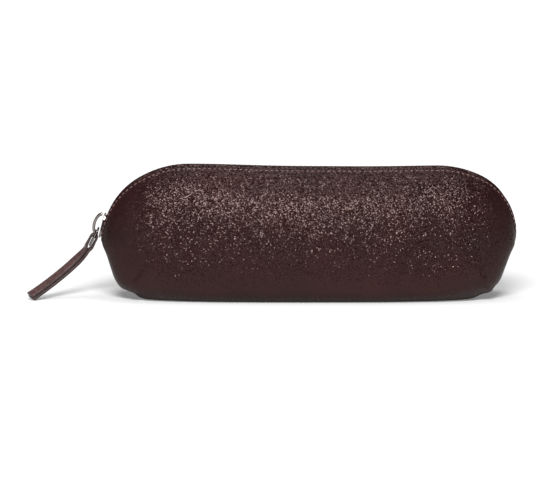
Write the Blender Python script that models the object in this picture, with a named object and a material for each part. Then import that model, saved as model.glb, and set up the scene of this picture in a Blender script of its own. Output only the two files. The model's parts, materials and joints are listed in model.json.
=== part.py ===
"""Leather pencil case: a boxed leather body, zipped over its ridge from end to end.

Frame: +X along the case to the right, -Y to the front, +Z up, origin at the
centre of the flat base. Lengths are metres. The case stands closed, its slider
at the left end with the leather pull hanging down to the table.
"""
import math

import bmesh
import bpy
import numpy as np
from mathutils import Matrix, Vector

# Leather, lining and the small clearance between neighbours
LEATHER = 0.0013
LINING = 0.0004
GAP = 0.0003

# Plan of the case at the height of the zip's two ends
RIM_HEIGHT = 0.0270
LEFT_REACH = 0.1048
RIGHT_REACH = 0.1050
RIM_HALF_DEPTH = 0.0270
RIM_ROUNDNESS = 2.6

# Base: where the walls would meet the table, and the rounding under them
BASE_LEFT_REACH = 0.0954
BASE_RIGHT_REACH = 0.0946
BASE_HALF_DEPTH = 0.0248
BASE_ROUNDNESS = 3.4
BASE_EDGE_RADIUS = 0.0060
BASE_END_RADIUS = 0.0120
SIDE_BELLY = 0.0010
END_BELLY = -0.0008

# Zip line over the ridge: a tight arc and a wide arc at each end, sagging between
LEFT_END_RADIUS = 0.0378
LEFT_SHOULDER_RADIUS = 0.0500
LEFT_TURN = math.radians(60)
RIGHT_END_RADIUS = 0.0290
RIGHT_SHOULDER_RADIUS = 0.0550
RIGHT_TURN = math.radians(66)
RIGHT_UPRIGHT = 0.0073
RIDGE_SAG = 0.0006

# Upper leather: its edge beside the zip and the curve of its cross-section
EDGE_HALF_GAP = 0.0058
SECTION_ROUNDNESS = 1.8
FAN_SHARE = 1.5
MOUTH_ANGLE = math.radians(18)
FOLD_START = 0.0012

# Zip tapes and coils, as depths below the leather's outer face
TAPE_DEPTH = LEATHER + GAP
TAPE = 0.0005
TAPE_INNER_EDGE = 0.0016
TAPE_START = 0.0024
TAPE_MARGIN_SHARES = (0.95, 0.88, 0.80)
LINING_DEPTH = TAPE_DEPTH + TAPE + GAP
LINING_TOP_SHARE = 0.90
COIL_TOP = -0.0001
COIL_FLOOR = TAPE_DEPTH - GAP
COIL_PITCH = 0.0032
COIL_LOOP = 0.0011
COIL_RAMP = 0.0002
COIL_HEAD = 0.00045
COIL_ROOT = 0.0015
COIL_OUTER = 0.0027
COIL_END = 0.0040
COIL_SPREAD = 0.00135

# Stops at the zip's ends
TOP_STOP_LENGTH = 0.0017
TOP_STOP_WIDTH = 0.0026
STOP_PROUD = 0.0001
BOTTOM_STOP_LENGTH = 0.0030
BOTTOM_STOP_HALF_WIDTH = 0.0030
BOTTOM_STOP_THICKNESS = 0.0006
BOTTOM_STOP_INSET = 0.0024

# Slider body, in its own plane: length along the zip, widest half, plates
SLIDER_PLACE = 0.0093
SLIDER_HALF_LENGTH = 0.0063
SLIDER_HALF_WIDTH = 0.0051
SLIDER_OUTLINE_SHARES = (
    (-1.00, 0.52), (-0.93, 0.80), (-0.74, 0.96), (-0.36, 1.00), (0.12, 0.94),
    (0.55, 0.82), (0.86, 0.66), (1.00, 0.40),
)
PLATE = 0.0009
PLATE_CHAMFER = 0.0003
OUTER_ROOM = 0.0005
FLANGE = 0.0006
FLANGE_REACH = 0.0012
FLANGE_SHARES = (-0.74, 0.80)
INNER_ROOM = 0.0034
WEDGE_HALF_WIDTH = 0.0006
WEDGE_TIP = 0.0002
WEDGE_SHARES = (-0.88, -0.72, -0.26)
SPREAD_SHARES = (-0.22, 0.42)

# Crown: the arch on the outer plate that the link hangs from
CROWN_WIDTH = 0.0034
CROWN_STRIP = 0.0011
CROWN_RISE = 0.0030
CROWN_LOW_SHARE = -0.66
CROWN_HIGH_SHARE = 0.84
CROWN_POINT_SHARES = (
    (0.00, 0.05), (-0.04, 0.36), (0.03, 0.72), (0.20, 0.95), (0.44, 1.00),
    (0.70, 0.88), (0.90, 0.60), (0.99, 0.30), (1.00, 0.05),
)
BAR_SHARE = 0.17

# Pull link: a rounded wire frame
LINK_WIRE = 0.0006
LINK_LENGTH = 0.0086
LINK_WIDTH = 0.0094
LINK_CORNER = 0.0012
LINK_LEAN = math.radians(14)

# Pull: one leather strip folded round the link's lower bar, two layers down
STRAP_WIDTH = 0.0066
STRAP_LAYER = 0.0013
STRAP_SEAM = 0.0004
STRAP_EYE = 0.0009
STRAP_HEAD = 0.0037
STRAP_CLOSING = 0.0040
STRAP_FORWARD = 0.0135
STRAP_REACH = 0.0294
STRAP_TIP_HEIGHT = 0.0019
STRAP_HANDLE = 0.0088
STRAP_CROWDING = 1.3
STRAP_TURNING = 0.0160
STRAP_TWIST = math.radians(21)
STRAP_LEAVE = math.radians(62)
STRAP_ARRIVE = math.radians(30)

# Facets
PATH_SAMPLES = 721
PANEL_COLUMNS = 42
LINING_COLUMNS = 28
TAPE_COLUMNS = 40
QUARTER_STEPS = 10
FILLET_STEPS = 3
WALL_STEPS = 4


class Line:
    """A curve through many points, read by its length along."""

    def __init__(self, points):
        self.points = np.asarray(points, float)
        steps = np.linalg.norm(np.diff(self.points, axis=0), axis=1)
        self.along = np.concatenate([[0.0], np.cumsum(steps)])
        self.length = float(self.along[-1])
        self.slopes = np.gradient(self.points, self.along, axis=0)

    def point(self, s):
        return np.array([np.interp(s, self.along, c) for c in self.points.T])

    def slope(self, s):
        t = np.array([np.interp(s, self.along, c) for c in self.slopes.T])
        return t / np.linalg.norm(t)


def arc(centre, radius, start, end, count):
    """Points of an arc in the XZ plane, angles from -X turning towards +Z."""
    turn = np.linspace(start, end, count)
    return np.c_[centre[0] - radius * np.cos(turn), centre[1] + radius * np.sin(turn)]


def zip_line():
    """The zip's line over the ridge in the XZ plane, from the left end to the right."""
    steps = PATH_SAMPLES // 4
    tight = (-LEFT_REACH + LEFT_END_RADIUS, RIM_HEIGHT)
    back = LEFT_SHOULDER_RADIUS - LEFT_END_RADIUS
    wide = (tight[0] + back * math.cos(LEFT_TURN), tight[1] - back * math.sin(LEFT_TURN))
    left = [
        arc(tight, LEFT_END_RADIUS, 0, LEFT_TURN, steps),
        arc(wide, LEFT_SHOULDER_RADIUS, LEFT_TURN, math.pi / 2, steps)[1:],
    ]
    tight = (RIGHT_REACH - RIGHT_END_RADIUS, RIM_HEIGHT + RIGHT_UPRIGHT)
    back = RIGHT_SHOULDER_RADIUS - RIGHT_END_RADIUS
    wide = (tight[0] - back * math.cos(RIGHT_TURN), tight[1] - back * math.sin(RIGHT_TURN))
    right = [
        arc(wide, RIGHT_SHOULDER_RADIUS, math.pi / 2, math.pi - RIGHT_TURN, steps),
        arc(tight, RIGHT_END_RADIUS, math.pi - RIGHT_TURN, math.pi, steps)[1:],
        np.array([[RIGHT_REACH, RIM_HEIGHT]]),
    ]
    begin, end = left[-1][-1], right[0][0]
    t = np.linspace(0, 1, steps)[1:-1]
    ease = t * t * (3 - 2 * t)
    ridge = np.c_[
        begin[0] + (end[0] - begin[0]) * t,
        begin[1] + (end[1] - begin[1]) * ease - RIDGE_SAG * np.sin(math.pi * t) ** 2,
    ]
    return Line(np.concatenate(left + [ridge] + right))


def plan_quarter(reach, half_depth, roundness, count):
    """A quarter of a plan outline, from the flat end (y at the zip's edge) to mid-side."""
    turn = np.linspace(0, math.pi / 2, count)
    power = 2 / roundness
    x = reach * np.cos(turn).clip(0) ** power
    y = EDGE_HALF_GAP + (half_depth - EDGE_HALF_GAP) * np.sin(turn) ** power
    return np.c_[x, y]


def rim_line():
    """Half of the plan outline at the rim, from the left end round the side to the right."""
    left = plan_quarter(LEFT_REACH, RIM_HALF_DEPTH, RIM_ROUNDNESS, PATH_SAMPLES // 2)
    right = plan_quarter(RIGHT_REACH, RIM_HALF_DEPTH, RIM_ROUNDNESS, PATH_SAMPLES // 2)
    left[:, 0] *= -1
    return Line(np.concatenate([left, right[::-1][1:]]))


ZIP = zip_line()
RIM = rim_line()
EDGE_ON_AXIS = EDGE_HALF_GAP * math.tan(MOUTH_ANGLE)
PANEL_START = EDGE_ON_AXIS + GAP
SLIDER_CENTRE = Vector((-LEFT_REACH + LEFT_END_RADIUS, 0, RIM_HEIGHT))
SLIDER_ANGLE = SLIDER_PLACE / LEFT_END_RADIUS


def zip_normal(s):
    """The outward normal of the zip's band at s, in the XZ plane."""
    tangent = ZIP.slope(s)
    return np.array([-tangent[1], tangent[0]])


def rib_point(s, q):
    """A point on the upper leather's outer face: q is 0 at the rim and 1 at the zip."""
    ridge = ZIP.point(s)
    rim = RIM.point(s * RIM.length / ZIP.length)
    turn = q * math.pi / 2
    power = 2 / SECTION_ROUNDNESS
    y = EDGE_HALF_GAP + (rim[1] - EDGE_HALF_GAP) * max(math.cos(turn), 0) ** power
    z = RIM_HEIGHT + (ridge[1] - RIM_HEIGHT) * math.sin(turn) ** power
    x = rim[0] + (ridge[0] - rim[0]) * math.sin(turn) ** FAN_SHARE
    return np.array([x, y, z])


def rib_normal(s, q):
    """The outward normal of the upper leather, from its two neighbours each way."""
    ds, dq = ZIP.length / PATH_SAMPLES, 1 / PATH_SAMPLES
    low_s, high_s = max(s - ds, 0), min(s + ds, ZIP.length)
    low_q, high_q = max(q - dq, 0), min(q + dq, 1)
    along = rib_point(high_s, q) - rib_point(low_s, q)
    up = rib_point(s, high_q) - rib_point(s, low_q)
    normal = np.cross(up, along)
    normal /= np.linalg.norm(normal)
    return normal if normal[1] > 0 else -normal


def under(s, q, depth):
    """The point at a depth under the upper leather's outer face."""
    return rib_point(s, q) - rib_normal(s, q) * depth


def edge_under(s, depth):
    """The point at a depth under the leather's zip edge, where band and panel meet."""
    band = zip_normal(s)
    band = np.array([band[0], 0, band[1]])
    panel = rib_normal(s, 1)
    mitre = (band + panel) / (1 + band @ panel)
    return rib_point(s, 1) - mitre * depth


def band_point(s, y, depth):
    """A point of the flat band between the leather edges, y from the middle."""
    ridge, normal = ZIP.point(s), zip_normal(s)
    return np.array([ridge[0] - normal[0] * depth, y, ridge[1] - normal[1] * depth])


def cut_share(s, lift):
    """Where the rib crosses the plane that leans by the mouth's angle from the axis."""
    def over(q):
        p = rib_point(s, q)
        rise = (p[2] - RIM_HEIGHT) * math.cos(MOUTH_ANGLE) - p[1] * math.sin(MOUTH_ANGLE)
        return rise - lift
    low, high = 0.0, 1.0
    if over(high) < 0:
        return high
    for _ in range(40):
        middle = (low + high) / 2
        low, high = (middle, high) if over(middle) < 0 else (low, middle)
    return high


def rim_share(s, lift):
    """Where the rib stands a small lift above the rim."""
    rise = max(ZIP.point(s)[1] - RIM_HEIGHT, lift)
    return 2 / math.pi * math.asin(min((lift / rise) ** (SECTION_ROUNDNESS / 2), 1))


def eased(start, end, count):
    """Places from start to end, closer together near both ends."""
    t = (1 - np.cos(np.linspace(0, math.pi, count))) / 2
    even = np.linspace(0, 1, count)
    return start + (end - start) * (t + even) / 2


def material(name, colour, roughness, metallic=0.0):
    """A plain finish for one piece."""
    made = bpy.data.materials.new(name)
    made.use_nodes = True
    shader = made.node_tree.nodes["Principled BSDF"]
    shader.inputs["Base Color"].default_value = (*colour, 1)
    shader.inputs["Roughness"].default_value = roughness
    shader.inputs["Metallic"].default_value = metallic
    made.diffuse_color = (*colour, 1)
    return made


def pivot(name, place, parent=None):
    """An empty on a joint's axis that carries the pieces of one moving body."""
    empty = bpy.data.objects.new(name, None)
    bpy.context.collection.objects.link(empty)
    empty["place"] = list(place)
    offset = Vector(parent["place"]) if parent else Vector()
    empty.parent = parent
    empty.location = Vector(place) - offset
    return empty


def piece(name, mesh_bm, finish, parent=None, smooth_angle=40):
    """One named object from a mesh in world places, hung on its body's empty."""
    bmesh.ops.remove_doubles(mesh_bm, verts=mesh_bm.verts, dist=GAP / 100)
    bmesh.ops.recalc_face_normals(mesh_bm, faces=mesh_bm.faces)
    if mesh_bm.calc_volume(signed=True) < 0:
        bmesh.ops.reverse_faces(mesh_bm, faces=mesh_bm.faces)
    offset = Vector(parent["place"]) if parent else Vector()
    bmesh.ops.translate(mesh_bm, verts=mesh_bm.verts, vec=-offset)
    mesh = bpy.data.meshes.new(name)
    mesh_bm.to_mesh(mesh)
    mesh_bm.free()
    mesh.shade_smooth()
    mesh.set_sharp_from_angle(angle=math.radians(smooth_angle))
    mesh.materials.append(finish)
    made = bpy.data.objects.new(name, mesh)
    bpy.context.collection.objects.link(made)
    made.parent = parent
    return made


def shell(outer, inner, side):
    """A closed wall between two grids of points; side -1 puts it at the front."""
    bm = bmesh.new()
    flip = np.array([1, side, 1])
    grids = [[[bm.verts.new(p * flip) for p in row] for row in g] for g in (outer, inner)]
    rows, columns = len(outer), len(outer[0])
    for grid in grids:
        for j in range(rows - 1):
            for i in range(columns - 1):
                bm.faces.new((grid[j][i], grid[j][i + 1], grid[j + 1][i + 1], grid[j + 1][i]))
    edge = [(0, i) for i in range(columns)]
    edge += [(j, columns - 1) for j in range(1, rows)]
    edge += [(rows - 1, i) for i in range(columns - 2, -1, -1)]
    edge += [(j, 0) for j in range(rows - 2, 0, -1)]
    for (j0, i0), (j1, i1) in zip(edge, edge[1:] + edge[:1]):
        bm.faces.new((grids[0][j0][i0], grids[0][j1][i1], grids[1][j1][i1], grids[1][j0][i0]))
    return bm


def tube(rings):
    """A closed solid through rings of points, with a face over each end."""
    bm = bmesh.new()
    loops = [[bm.verts.new(p) for p in ring] for ring in rings]
    for low, high in zip(loops, loops[1:]):
        for i in range(len(low)):
            k = (i + 1) % len(low)
            bm.faces.new((low[i], low[k], high[k], high[i]))
    bm.faces.new(loops[0][::-1])
    bm.faces.new(loops[-1])
    return bm


def wall_size(z):
    """The walls' left reach, right reach, half depth and roundness at a height."""
    up = np.clip(z / RIM_HEIGHT, 0, 1)
    belly = np.sin(math.pi * up)
    return (
        BASE_LEFT_REACH + (LEFT_REACH - BASE_LEFT_REACH) * up + END_BELLY * belly,
        BASE_RIGHT_REACH + (RIGHT_REACH - BASE_RIGHT_REACH) * up + END_BELLY * belly,
        BASE_HALF_DEPTH + (RIM_HALF_DEPTH - BASE_HALF_DEPTH) * up + SIDE_BELLY * belly,
        BASE_ROUNDNESS + (RIM_ROUNDNESS - BASE_ROUNDNESS) * up,
    )


def plan_half(heights, insets):
    """Half an outline of the walls, from the left end round the side to the right.

    The heights and the insets are those of one quarter, from its end to mid-side.
    """
    left, right, half_depth, roundness = wall_size(heights)
    start, end = (
        np.c_[plan_quarter(reach - insets, half_depth - insets, roundness, len(heights)), heights]
        for reach in (left, right)
    )
    start[:, 0] *= -1
    return np.concatenate([start, end[::-1][1:]])


def base_rounding():
    """The radius under each column of a quarter: wide at the end, tighter at mid-side."""
    turn = np.linspace(0, math.pi / 2, QUARTER_STEPS + 1)
    return BASE_EDGE_RADIUS + (BASE_END_RADIUS - BASE_EDGE_RADIUS) * np.cos(turn) ** 2


def wall_levels(depth, top):
    """Outlines of the lower body at a depth under its outer face, from the base to the top."""
    rounding = base_rounding()
    radius = rounding - depth
    found = []
    for k in range(FILLET_STEPS + 1):
        turn = k / FILLET_STEPS * math.pi / 2
        heights = rounding - radius * math.cos(turn)
        found.append(plan_half(heights, depth + radius * (1 - math.sin(turn))))
    for k in range(1, WALL_STEPS + 1):
        heights = rounding + (top - rounding) * k / WALL_STEPS
        found.append(plan_half(heights, np.full_like(heights, depth)))
    return found


def lower_panel(side, top):
    """The lower leather of one side, from the seam under the base up to the rim."""
    grids = []
    for depth in (0, LEATHER):
        rows = []
        for half in wall_levels(depth, top):
            ends = half[[0, -1]]
            ends[:, 1] = GAP / 2
            rows.append(np.vstack([ends[:1], half, ends[1:]]))
        seam = rows[0].copy()
        seam[:, 1] = GAP / 2
        grids.append([seam] + rows)
    return shell(*grids, side)


def lower_lining(top):
    """One bag inside the lower leather, open at the top."""
    rings = []
    for depth in (LEATHER + GAP, LEATHER + GAP + LINING):
        halves = wall_levels(depth, top)
        rings.append([np.vstack([half, half[::-1] * (1, -1, 1)]) for half in halves])
    return tube(rings[0] + rings[1][::-1])


def panel_grid(starts, ends, rows, depth, columns):
    """Points of the upper leather between two shares of each rib, at a depth."""
    grid = []
    for share in np.linspace(0, 1, rows):
        row = []
        for s, low, high in zip(columns, starts, ends):
            q = low + (high - low) * share
            row.append(edge_under(s, 0) if q >= 1 and not depth else under(s, q, depth))
        grid.append(row)
    return grid


def upper_panel(side):
    """The upper leather of one side, from its fold to its edge beside the zip."""
    columns = eased(PANEL_START, ZIP.length - PANEL_START, PANEL_COLUMNS)
    starts = [cut_share(s, GAP / 2) for s in columns]
    ends = [1.0] * len(columns)
    rows = 8
    outer = panel_grid(starts, ends, rows, 0, columns)
    inner = panel_grid(starts, ends, rows, LEATHER, columns)
    inner[-1] = [band_point(s, EDGE_HALF_GAP, LEATHER) for s in columns]
    return shell(outer, inner, side)


def fold(side):
    """The leather that bends when the mouth opens, between the rim and the upper panel."""
    columns = eased(FOLD_START, ZIP.length - FOLD_START, PANEL_COLUMNS)
    starts = [rim_share(s, GAP / 2) for s in columns]
    ends = [max(cut_share(s, -GAP / 2), q) for s, q in zip(columns, starts)]
    rows = 3
    outer = panel_grid(starts, ends, rows, 0, columns)
    inner = panel_grid(starts, ends, rows, LEATHER + LINING, columns)
    return shell(outer, inner, side)


def upper_lining(side):
    """The lining behind the upper leather, stopping short of the slider's way."""
    margin = PANEL_START + LINING_DEPTH + LINING
    columns = eased(margin, ZIP.length - margin, LINING_COLUMNS)
    starts = [cut_share(s, GAP) for s in columns]
    ends = [LINING_TOP_SHARE] * len(columns)
    grids = [
        panel_grid(starts, ends, 6, depth, columns)
        for depth in (LINING_DEPTH, LINING_DEPTH + LINING)
    ]
    return shell(*grids, side)


def zip_tape(side):
    """One tape: a flat band beside the coil, turned down under the leather's edge."""
    columns = eased(TAPE_START, ZIP.length - TAPE_START, TAPE_COLUMNS)
    grids = []
    for depth in (TAPE_DEPTH, TAPE_DEPTH + TAPE):
        rows = [[band_point(s, TAPE_INNER_EDGE, depth) for s in columns]]
        rows.append([edge_under(s, depth) for s in columns])
        rows += [[under(s, q, depth) for s in columns] for q in TAPE_MARGIN_SHARES]
        grids.append(rows)
    return shell(*grids, side)


def spread(s):
    """How far a coil stands aside: closed past the slider, open round its wedge."""
    low, high = (SLIDER_PLACE + share * SLIDER_HALF_LENGTH for share in SPREAD_SHARES)
    t = min(max((high - s) / (high - low), 0), 1)
    return COIL_SPREAD * t * t * (3 - 2 * t)


def coil_start():
    """Where the coils begin, just past the top stops."""
    return TAPE_START + TOP_STOP_LENGTH + GAP


def coil_loops():
    """How many loops each row has."""
    return int((ZIP.length - COIL_END - coil_start()) / COIL_PITCH)


def zip_coil(side):
    """One row of loops on its cord; the two rows mesh half a pitch apart."""
    shift = COIL_PITCH / 2 if side > 0 else 0
    head = COIL_LOOP / 2
    rings = []
    for k in range(coil_loops()):
        middle = coil_start() + shift + COIL_PITCH * k + head + COIL_RAMP
        for s, inner in (
            (middle - head - COIL_RAMP, COIL_ROOT), (middle - head, -COIL_HEAD),
            (middle + head, -COIL_HEAD), (middle + head + COIL_RAMP, COIL_ROOT),
        ):
            aside = spread(s)
            corners = (
                (inner + aside, COIL_TOP), (COIL_OUTER + aside, COIL_TOP),
                (COIL_OUTER + aside, COIL_FLOOR), (inner + aside, COIL_FLOOR),
            )
            rings.append([band_point(s, y, d) * (1, side, 1) for y, d in corners])
    return tube(rings)


def top_stop(side):
    """The clamp at the open end of one coil."""
    low = COIL_SPREAD + COIL_ROOT - GAP
    rings = []
    for s in (TAPE_START, TAPE_START + TOP_STOP_LENGTH):
        corners = ((low, -STOP_PROUD), (low + TOP_STOP_WIDTH, -STOP_PROUD),
                   (low + TOP_STOP_WIDTH, COIL_FLOOR), (low, COIL_FLOOR))
        rings.append([band_point(s, y, d) * (1, side, 1) for y, d in corners])
    return tube(rings)


def bottom_stop():
    """The clamp across both coils at the closed end."""
    rings = []
    end = coil_start() + COIL_PITCH * coil_loops() - BOTTOM_STOP_INSET
    depth = COIL_TOP - GAP
    for s in (end - BOTTOM_STOP_LENGTH, end):
        rings.append([
            band_point(s, y, d)
            for y, d in (
                (-BOTTOM_STOP_HALF_WIDTH, depth),
                (-BOTTOM_STOP_HALF_WIDTH + BOTTOM_STOP_THICKNESS, depth - BOTTOM_STOP_THICKNESS),
                (BOTTOM_STOP_HALF_WIDTH - BOTTOM_STOP_THICKNESS, depth - BOTTOM_STOP_THICKNESS),
                (BOTTOM_STOP_HALF_WIDTH, depth),
            )
        ])
    return tube(rings)


def slider_frame():
    """World place of the slider's own axes: S up the zip, Y across, D outwards."""
    out = Vector((-math.cos(SLIDER_ANGLE), 0, math.sin(SLIDER_ANGLE)))
    along = Vector((math.sin(SLIDER_ANGLE), 0, math.cos(SLIDER_ANGLE)))
    across = Vector((0, 1, 0))
    middle = SLIDER_CENTRE + out * LEFT_END_RADIUS
    frame = Matrix((along, across, out)).transposed().to_4x4()
    return Matrix.Translation(middle) @ frame


def slider_half_width(share):
    """The slider's half width at a share of its half length."""
    places, widths = zip(*SLIDER_OUTLINE_SHARES)
    return SLIDER_HALF_WIDTH * float(np.interp(share, places, widths))


def outline(inset):
    """The slider plate's outline, drawn in by an inset."""
    half = [
        ((SLIDER_HALF_LENGTH - inset) * a, (SLIDER_HALF_WIDTH * b) - inset)
        for a, b in SLIDER_OUTLINE_SHARES
    ]
    return half + [(s, -y) for s, y in reversed(half)]


def plate(low, high, chamfered):
    """A plate from a low to a high height, chamfered on the side away from the zip."""
    levels = [(low, 0), (high, 0)]
    if chamfered > 0:
        levels = [(low, 0), (high - PLATE_CHAMFER, 0), (high, PLATE_CHAMFER)]
    if chamfered < 0:
        levels = [(low, PLATE_CHAMFER), (low + PLATE_CHAMFER, 0), (high, 0)]
    return tube([[(s, y, d) for s, y in outline(inset)] for d, inset in levels])


def flange(side):
    """The outer plate's turned-down edge on one side."""
    rings = []
    root = OUTER_ROOM + PLATE / 2
    for share in np.linspace(*FLANGE_SHARES, 7):
        outside = slider_half_width(share)
        s = share * SLIDER_HALF_LENGTH
        rings.append([
            (s, side * y, d)
            for y, d in (
                (outside - FLANGE, root), (outside - GAP / 10, root),
                (outside - GAP / 10, -FLANGE_REACH), (outside - FLANGE, -FLANGE_REACH),
            )
        ])
    return tube(rings)


def wedge():
    """The post between the plates that parts the coils."""
    low, wide, tip = (share * SLIDER_HALF_LENGTH for share in WEDGE_SHARES)
    points = (
        (low, -WEDGE_TIP), (wide, -WEDGE_HALF_WIDTH), (tip, -WEDGE_TIP),
        (tip, WEDGE_TIP), (wide, WEDGE_HALF_WIDTH), (low, WEDGE_TIP),
    )
    heights = (-INNER_ROOM - PLATE / 2, OUTER_ROOM + PLATE / 2)
    return tube([[(s, y, d) for s, y in points] for d in heights])


def united(meshes):
    """One closed body from several that overlap."""
    objects = []
    for bm in meshes:
        bmesh.ops.recalc_face_normals(bm, faces=bm.faces)
        mesh = bpy.data.meshes.new("solid")
        bm.to_mesh(mesh)
        bm.free()
        objects.append(bpy.data.objects.new("solid", mesh))
        bpy.context.collection.objects.link(objects[-1])
    base = objects[0]
    for other in objects[1:]:
        modifier = base.modifiers.new("join", "BOOLEAN")
        modifier.operation = "UNION"
        modifier.solver = "EXACT"
        modifier.object = other
    seen = base.evaluated_get(bpy.context.evaluated_depsgraph_get())
    result = bmesh.new()
    result.from_mesh(seen.to_mesh())
    seen.to_mesh_clear()
    for made in objects:
        mesh = made.data
        bpy.data.objects.remove(made)
        bpy.data.meshes.remove(mesh)
    return result


def slider_body():
    """Two plates joined by the wedge, the outer one with its flanges."""
    bm = united([
        plate(OUTER_ROOM, OUTER_ROOM + PLATE, 1),
        flange(1), flange(-1), wedge(),
        plate(-INNER_ROOM - PLATE, -INNER_ROOM, -1),
    ])
    bmesh.ops.transform(bm, matrix=slider_frame(), verts=bm.verts)
    return bm


def smooth_points(points, count):
    """Points on a smooth curve through the given ones."""
    points = np.asarray(points, float)
    ends = np.vstack([2 * points[0] - points[1], points, 2 * points[-1] - points[-2]])
    places = np.linspace(0, len(points) - 1, count)
    found = []
    for place in places:
        k = min(int(place), len(points) - 2)
        t = place - k
        a, b, c, d = ends[k:k + 4]
        found.append(
            (2 * b + (c - a) * t + (2 * a - 5 * b + 4 * c - d) * t ** 2
             + (3 * b - a - 3 * c + d) * t ** 3) / 2
        )
    return np.array(found)


def ribbon(points, across, half_widths, half_thickness):
    """A strip along points; across is its width direction at each point."""
    rings = []
    slopes = np.gradient(points, axis=0)
    for p, slope, width, half in zip(points, slopes, across, half_widths):
        slope = slope / np.linalg.norm(slope)
        width = width - slope * (width @ slope)
        width /= np.linalg.norm(width)
        face = np.cross(slope, width) * half_thickness
        side = width * half
        rings.append([p - side - face, p + side - face, p + side + face, p - side + face])
    return tube(rings)


def crown_base():
    """Height of the crown's feet over the zip, on the outer plate."""
    return OUTER_ROOM + PLATE + GAP


def slider_crown():
    """The arch that stands on the outer plate."""
    low, high = (k * SLIDER_HALF_LENGTH for k in (CROWN_LOW_SHARE, CROWN_HIGH_SHARE))
    points = [
        (low + (high - low) * a, 0, crown_base() + CROWN_RISE * b)
        for a, b in CROWN_POINT_SHARES
    ]
    points = smooth_points(points, 15)
    half = CROWN_STRIP / 2
    points[0][2] = points[-1][2] = crown_base()
    across = np.tile((0.0, 1.0, 0.0), (len(points), 1))
    bm = ribbon(points, across, [CROWN_WIDTH / 2] * len(points), half)
    lift = min(v.co.z for v in bm.verts) - crown_base()
    bmesh.ops.translate(bm, verts=bm.verts, vec=(0, 0, -lift))
    bmesh.ops.transform(bm, matrix=slider_frame(), verts=bm.verts)
    return bm


def bar_place():
    """World place of the link's upper bar, under the low end of the crown."""
    low, high = (k * SLIDER_HALF_LENGTH for k in (CROWN_LOW_SHARE, CROWN_HIGH_SHARE))
    lift = crown_base() + LINK_WIRE + GAP
    return slider_frame() @ Vector((low + (high - low) * BAR_SHARE, 0, lift))


def link_direction():
    """The way from the link's upper bar to its lower one."""
    down = SLIDER_ANGLE + LINK_LEAN
    return Vector((-math.sin(down), 0, -math.cos(down)))


def strap_pivot_place():
    return bar_place() + link_direction() * LINK_LENGTH


def pull_link():
    """A closed wire frame with rounded corners."""
    middle = bar_place() + link_direction() * LINK_LENGTH / 2
    along, across = link_direction(), Vector((0, 1, 0))
    out = along.cross(across)
    half_length, half_width = LINK_LENGTH / 2, LINK_WIDTH / 2
    rings = []
    for quarter in range(4):
        start = quarter * math.pi / 2
        corner_x = (half_length - LINK_CORNER) * (1 if quarter in (0, 3) else -1)
        corner_y = (half_width - LINK_CORNER) * (1 if quarter in (0, 1) else -1)
        for turn in np.linspace(start, start + math.pi / 2, 5):
            ray = along * math.cos(turn) + across * math.sin(turn)
            centre = middle + along * corner_x + across * corner_y + ray * LINK_CORNER
            rings.append([
                centre + (ray * math.cos(a) + out * math.sin(a)) * LINK_WIRE
                for a in np.linspace(0, 2 * math.pi, 8, endpoint=False)
            ])
    bm = bmesh.new()
    loops = [[bm.verts.new(p) for p in ring] for ring in rings]
    for low, high in zip(loops, loops[1:] + loops[:1]):
        for i in range(len(low)):
            k = (i + 1) % len(low)
            bm.faces.new((low[i], low[k], high[k], high[i]))
    return bm


def strap_line(count):
    """The pull's middle line, from the head of its loop down to its tip on the table."""
    leave = np.array((-math.cos(STRAP_LEAVE), 0, -math.sin(STRAP_LEAVE)))
    start = np.array(strap_pivot_place())
    end = start + (-STRAP_REACH, -STRAP_FORWARD, STRAP_TIP_HEIGHT - start[2])
    lean = -STRAP_FORWARD / STRAP_REACH
    arrive = np.array((-math.cos(STRAP_ARRIVE), lean, -math.sin(STRAP_ARRIVE)))
    a, b = start + leave * STRAP_HANDLE, end - arrive * STRAP_HANDLE
    t = np.linspace(0, 1, count)[:, None] ** STRAP_CROWDING
    bend = (1 - t) ** 3 * start + 3 * t * (1 - t) ** 2 * a + 3 * t * t * (1 - t) * b + t ** 3 * end
    return np.concatenate([[start - leave * STRAP_HEAD], bend])


def pull_strap():
    """One strip: up the back layer, round the link's bar and down the front layer."""
    line = strap_line(16)
    slopes = np.gradient(line, axis=0)
    slopes /= np.linalg.norm(slopes, axis=1)[:, None]
    travelled = np.concatenate([[0], np.cumsum(np.linalg.norm(np.diff(line, axis=0), axis=1))])
    eye = STRAP_EYE + STRAP_LAYER / 2
    flat = (STRAP_SEAM + STRAP_LAYER) / 2
    up, width = [], []
    for distance, slope in zip(travelled, slopes):
        t = min(distance / STRAP_TURNING, 1)
        twist = -STRAP_TWIST * t * t * (3 - 2 * t)
        side = np.array((0.0, 1.0, 0.0)) - slope * slope[1]
        side /= np.linalg.norm(side)
        normal = np.cross(slope, side)
        width.append(side * math.cos(twist) + normal * math.sin(twist))
        up.append(normal * math.cos(twist) - side * math.sin(twist))
    apart = []
    for distance in travelled:
        t = min(max(distance - STRAP_HEAD - STRAP_EYE, 0) / STRAP_CLOSING, 1)
        apart.append(eye + (flat - eye) * t * t * (3 - 2 * t))
    back = [p - n * a for p, n, a in zip(line, up, apart)][::-1]
    front = [p + n * a for p, n, a in zip(line, up, apart)]
    turns = np.linspace(-math.pi / 2, math.pi / 2, 7)[1:-1]
    round_bar = [
        line[0] - slopes[0] * eye * math.cos(a) + up[0] * eye * math.sin(a) for a in turns
    ]
    points = np.array(back + round_bar + front)
    across = np.array(width[::-1] + [width[0]] * len(turns) + width)
    halves = [STRAP_WIDTH / 2] * len(points)
    return ribbon(points, across, halves, STRAP_LAYER / 2)


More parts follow.
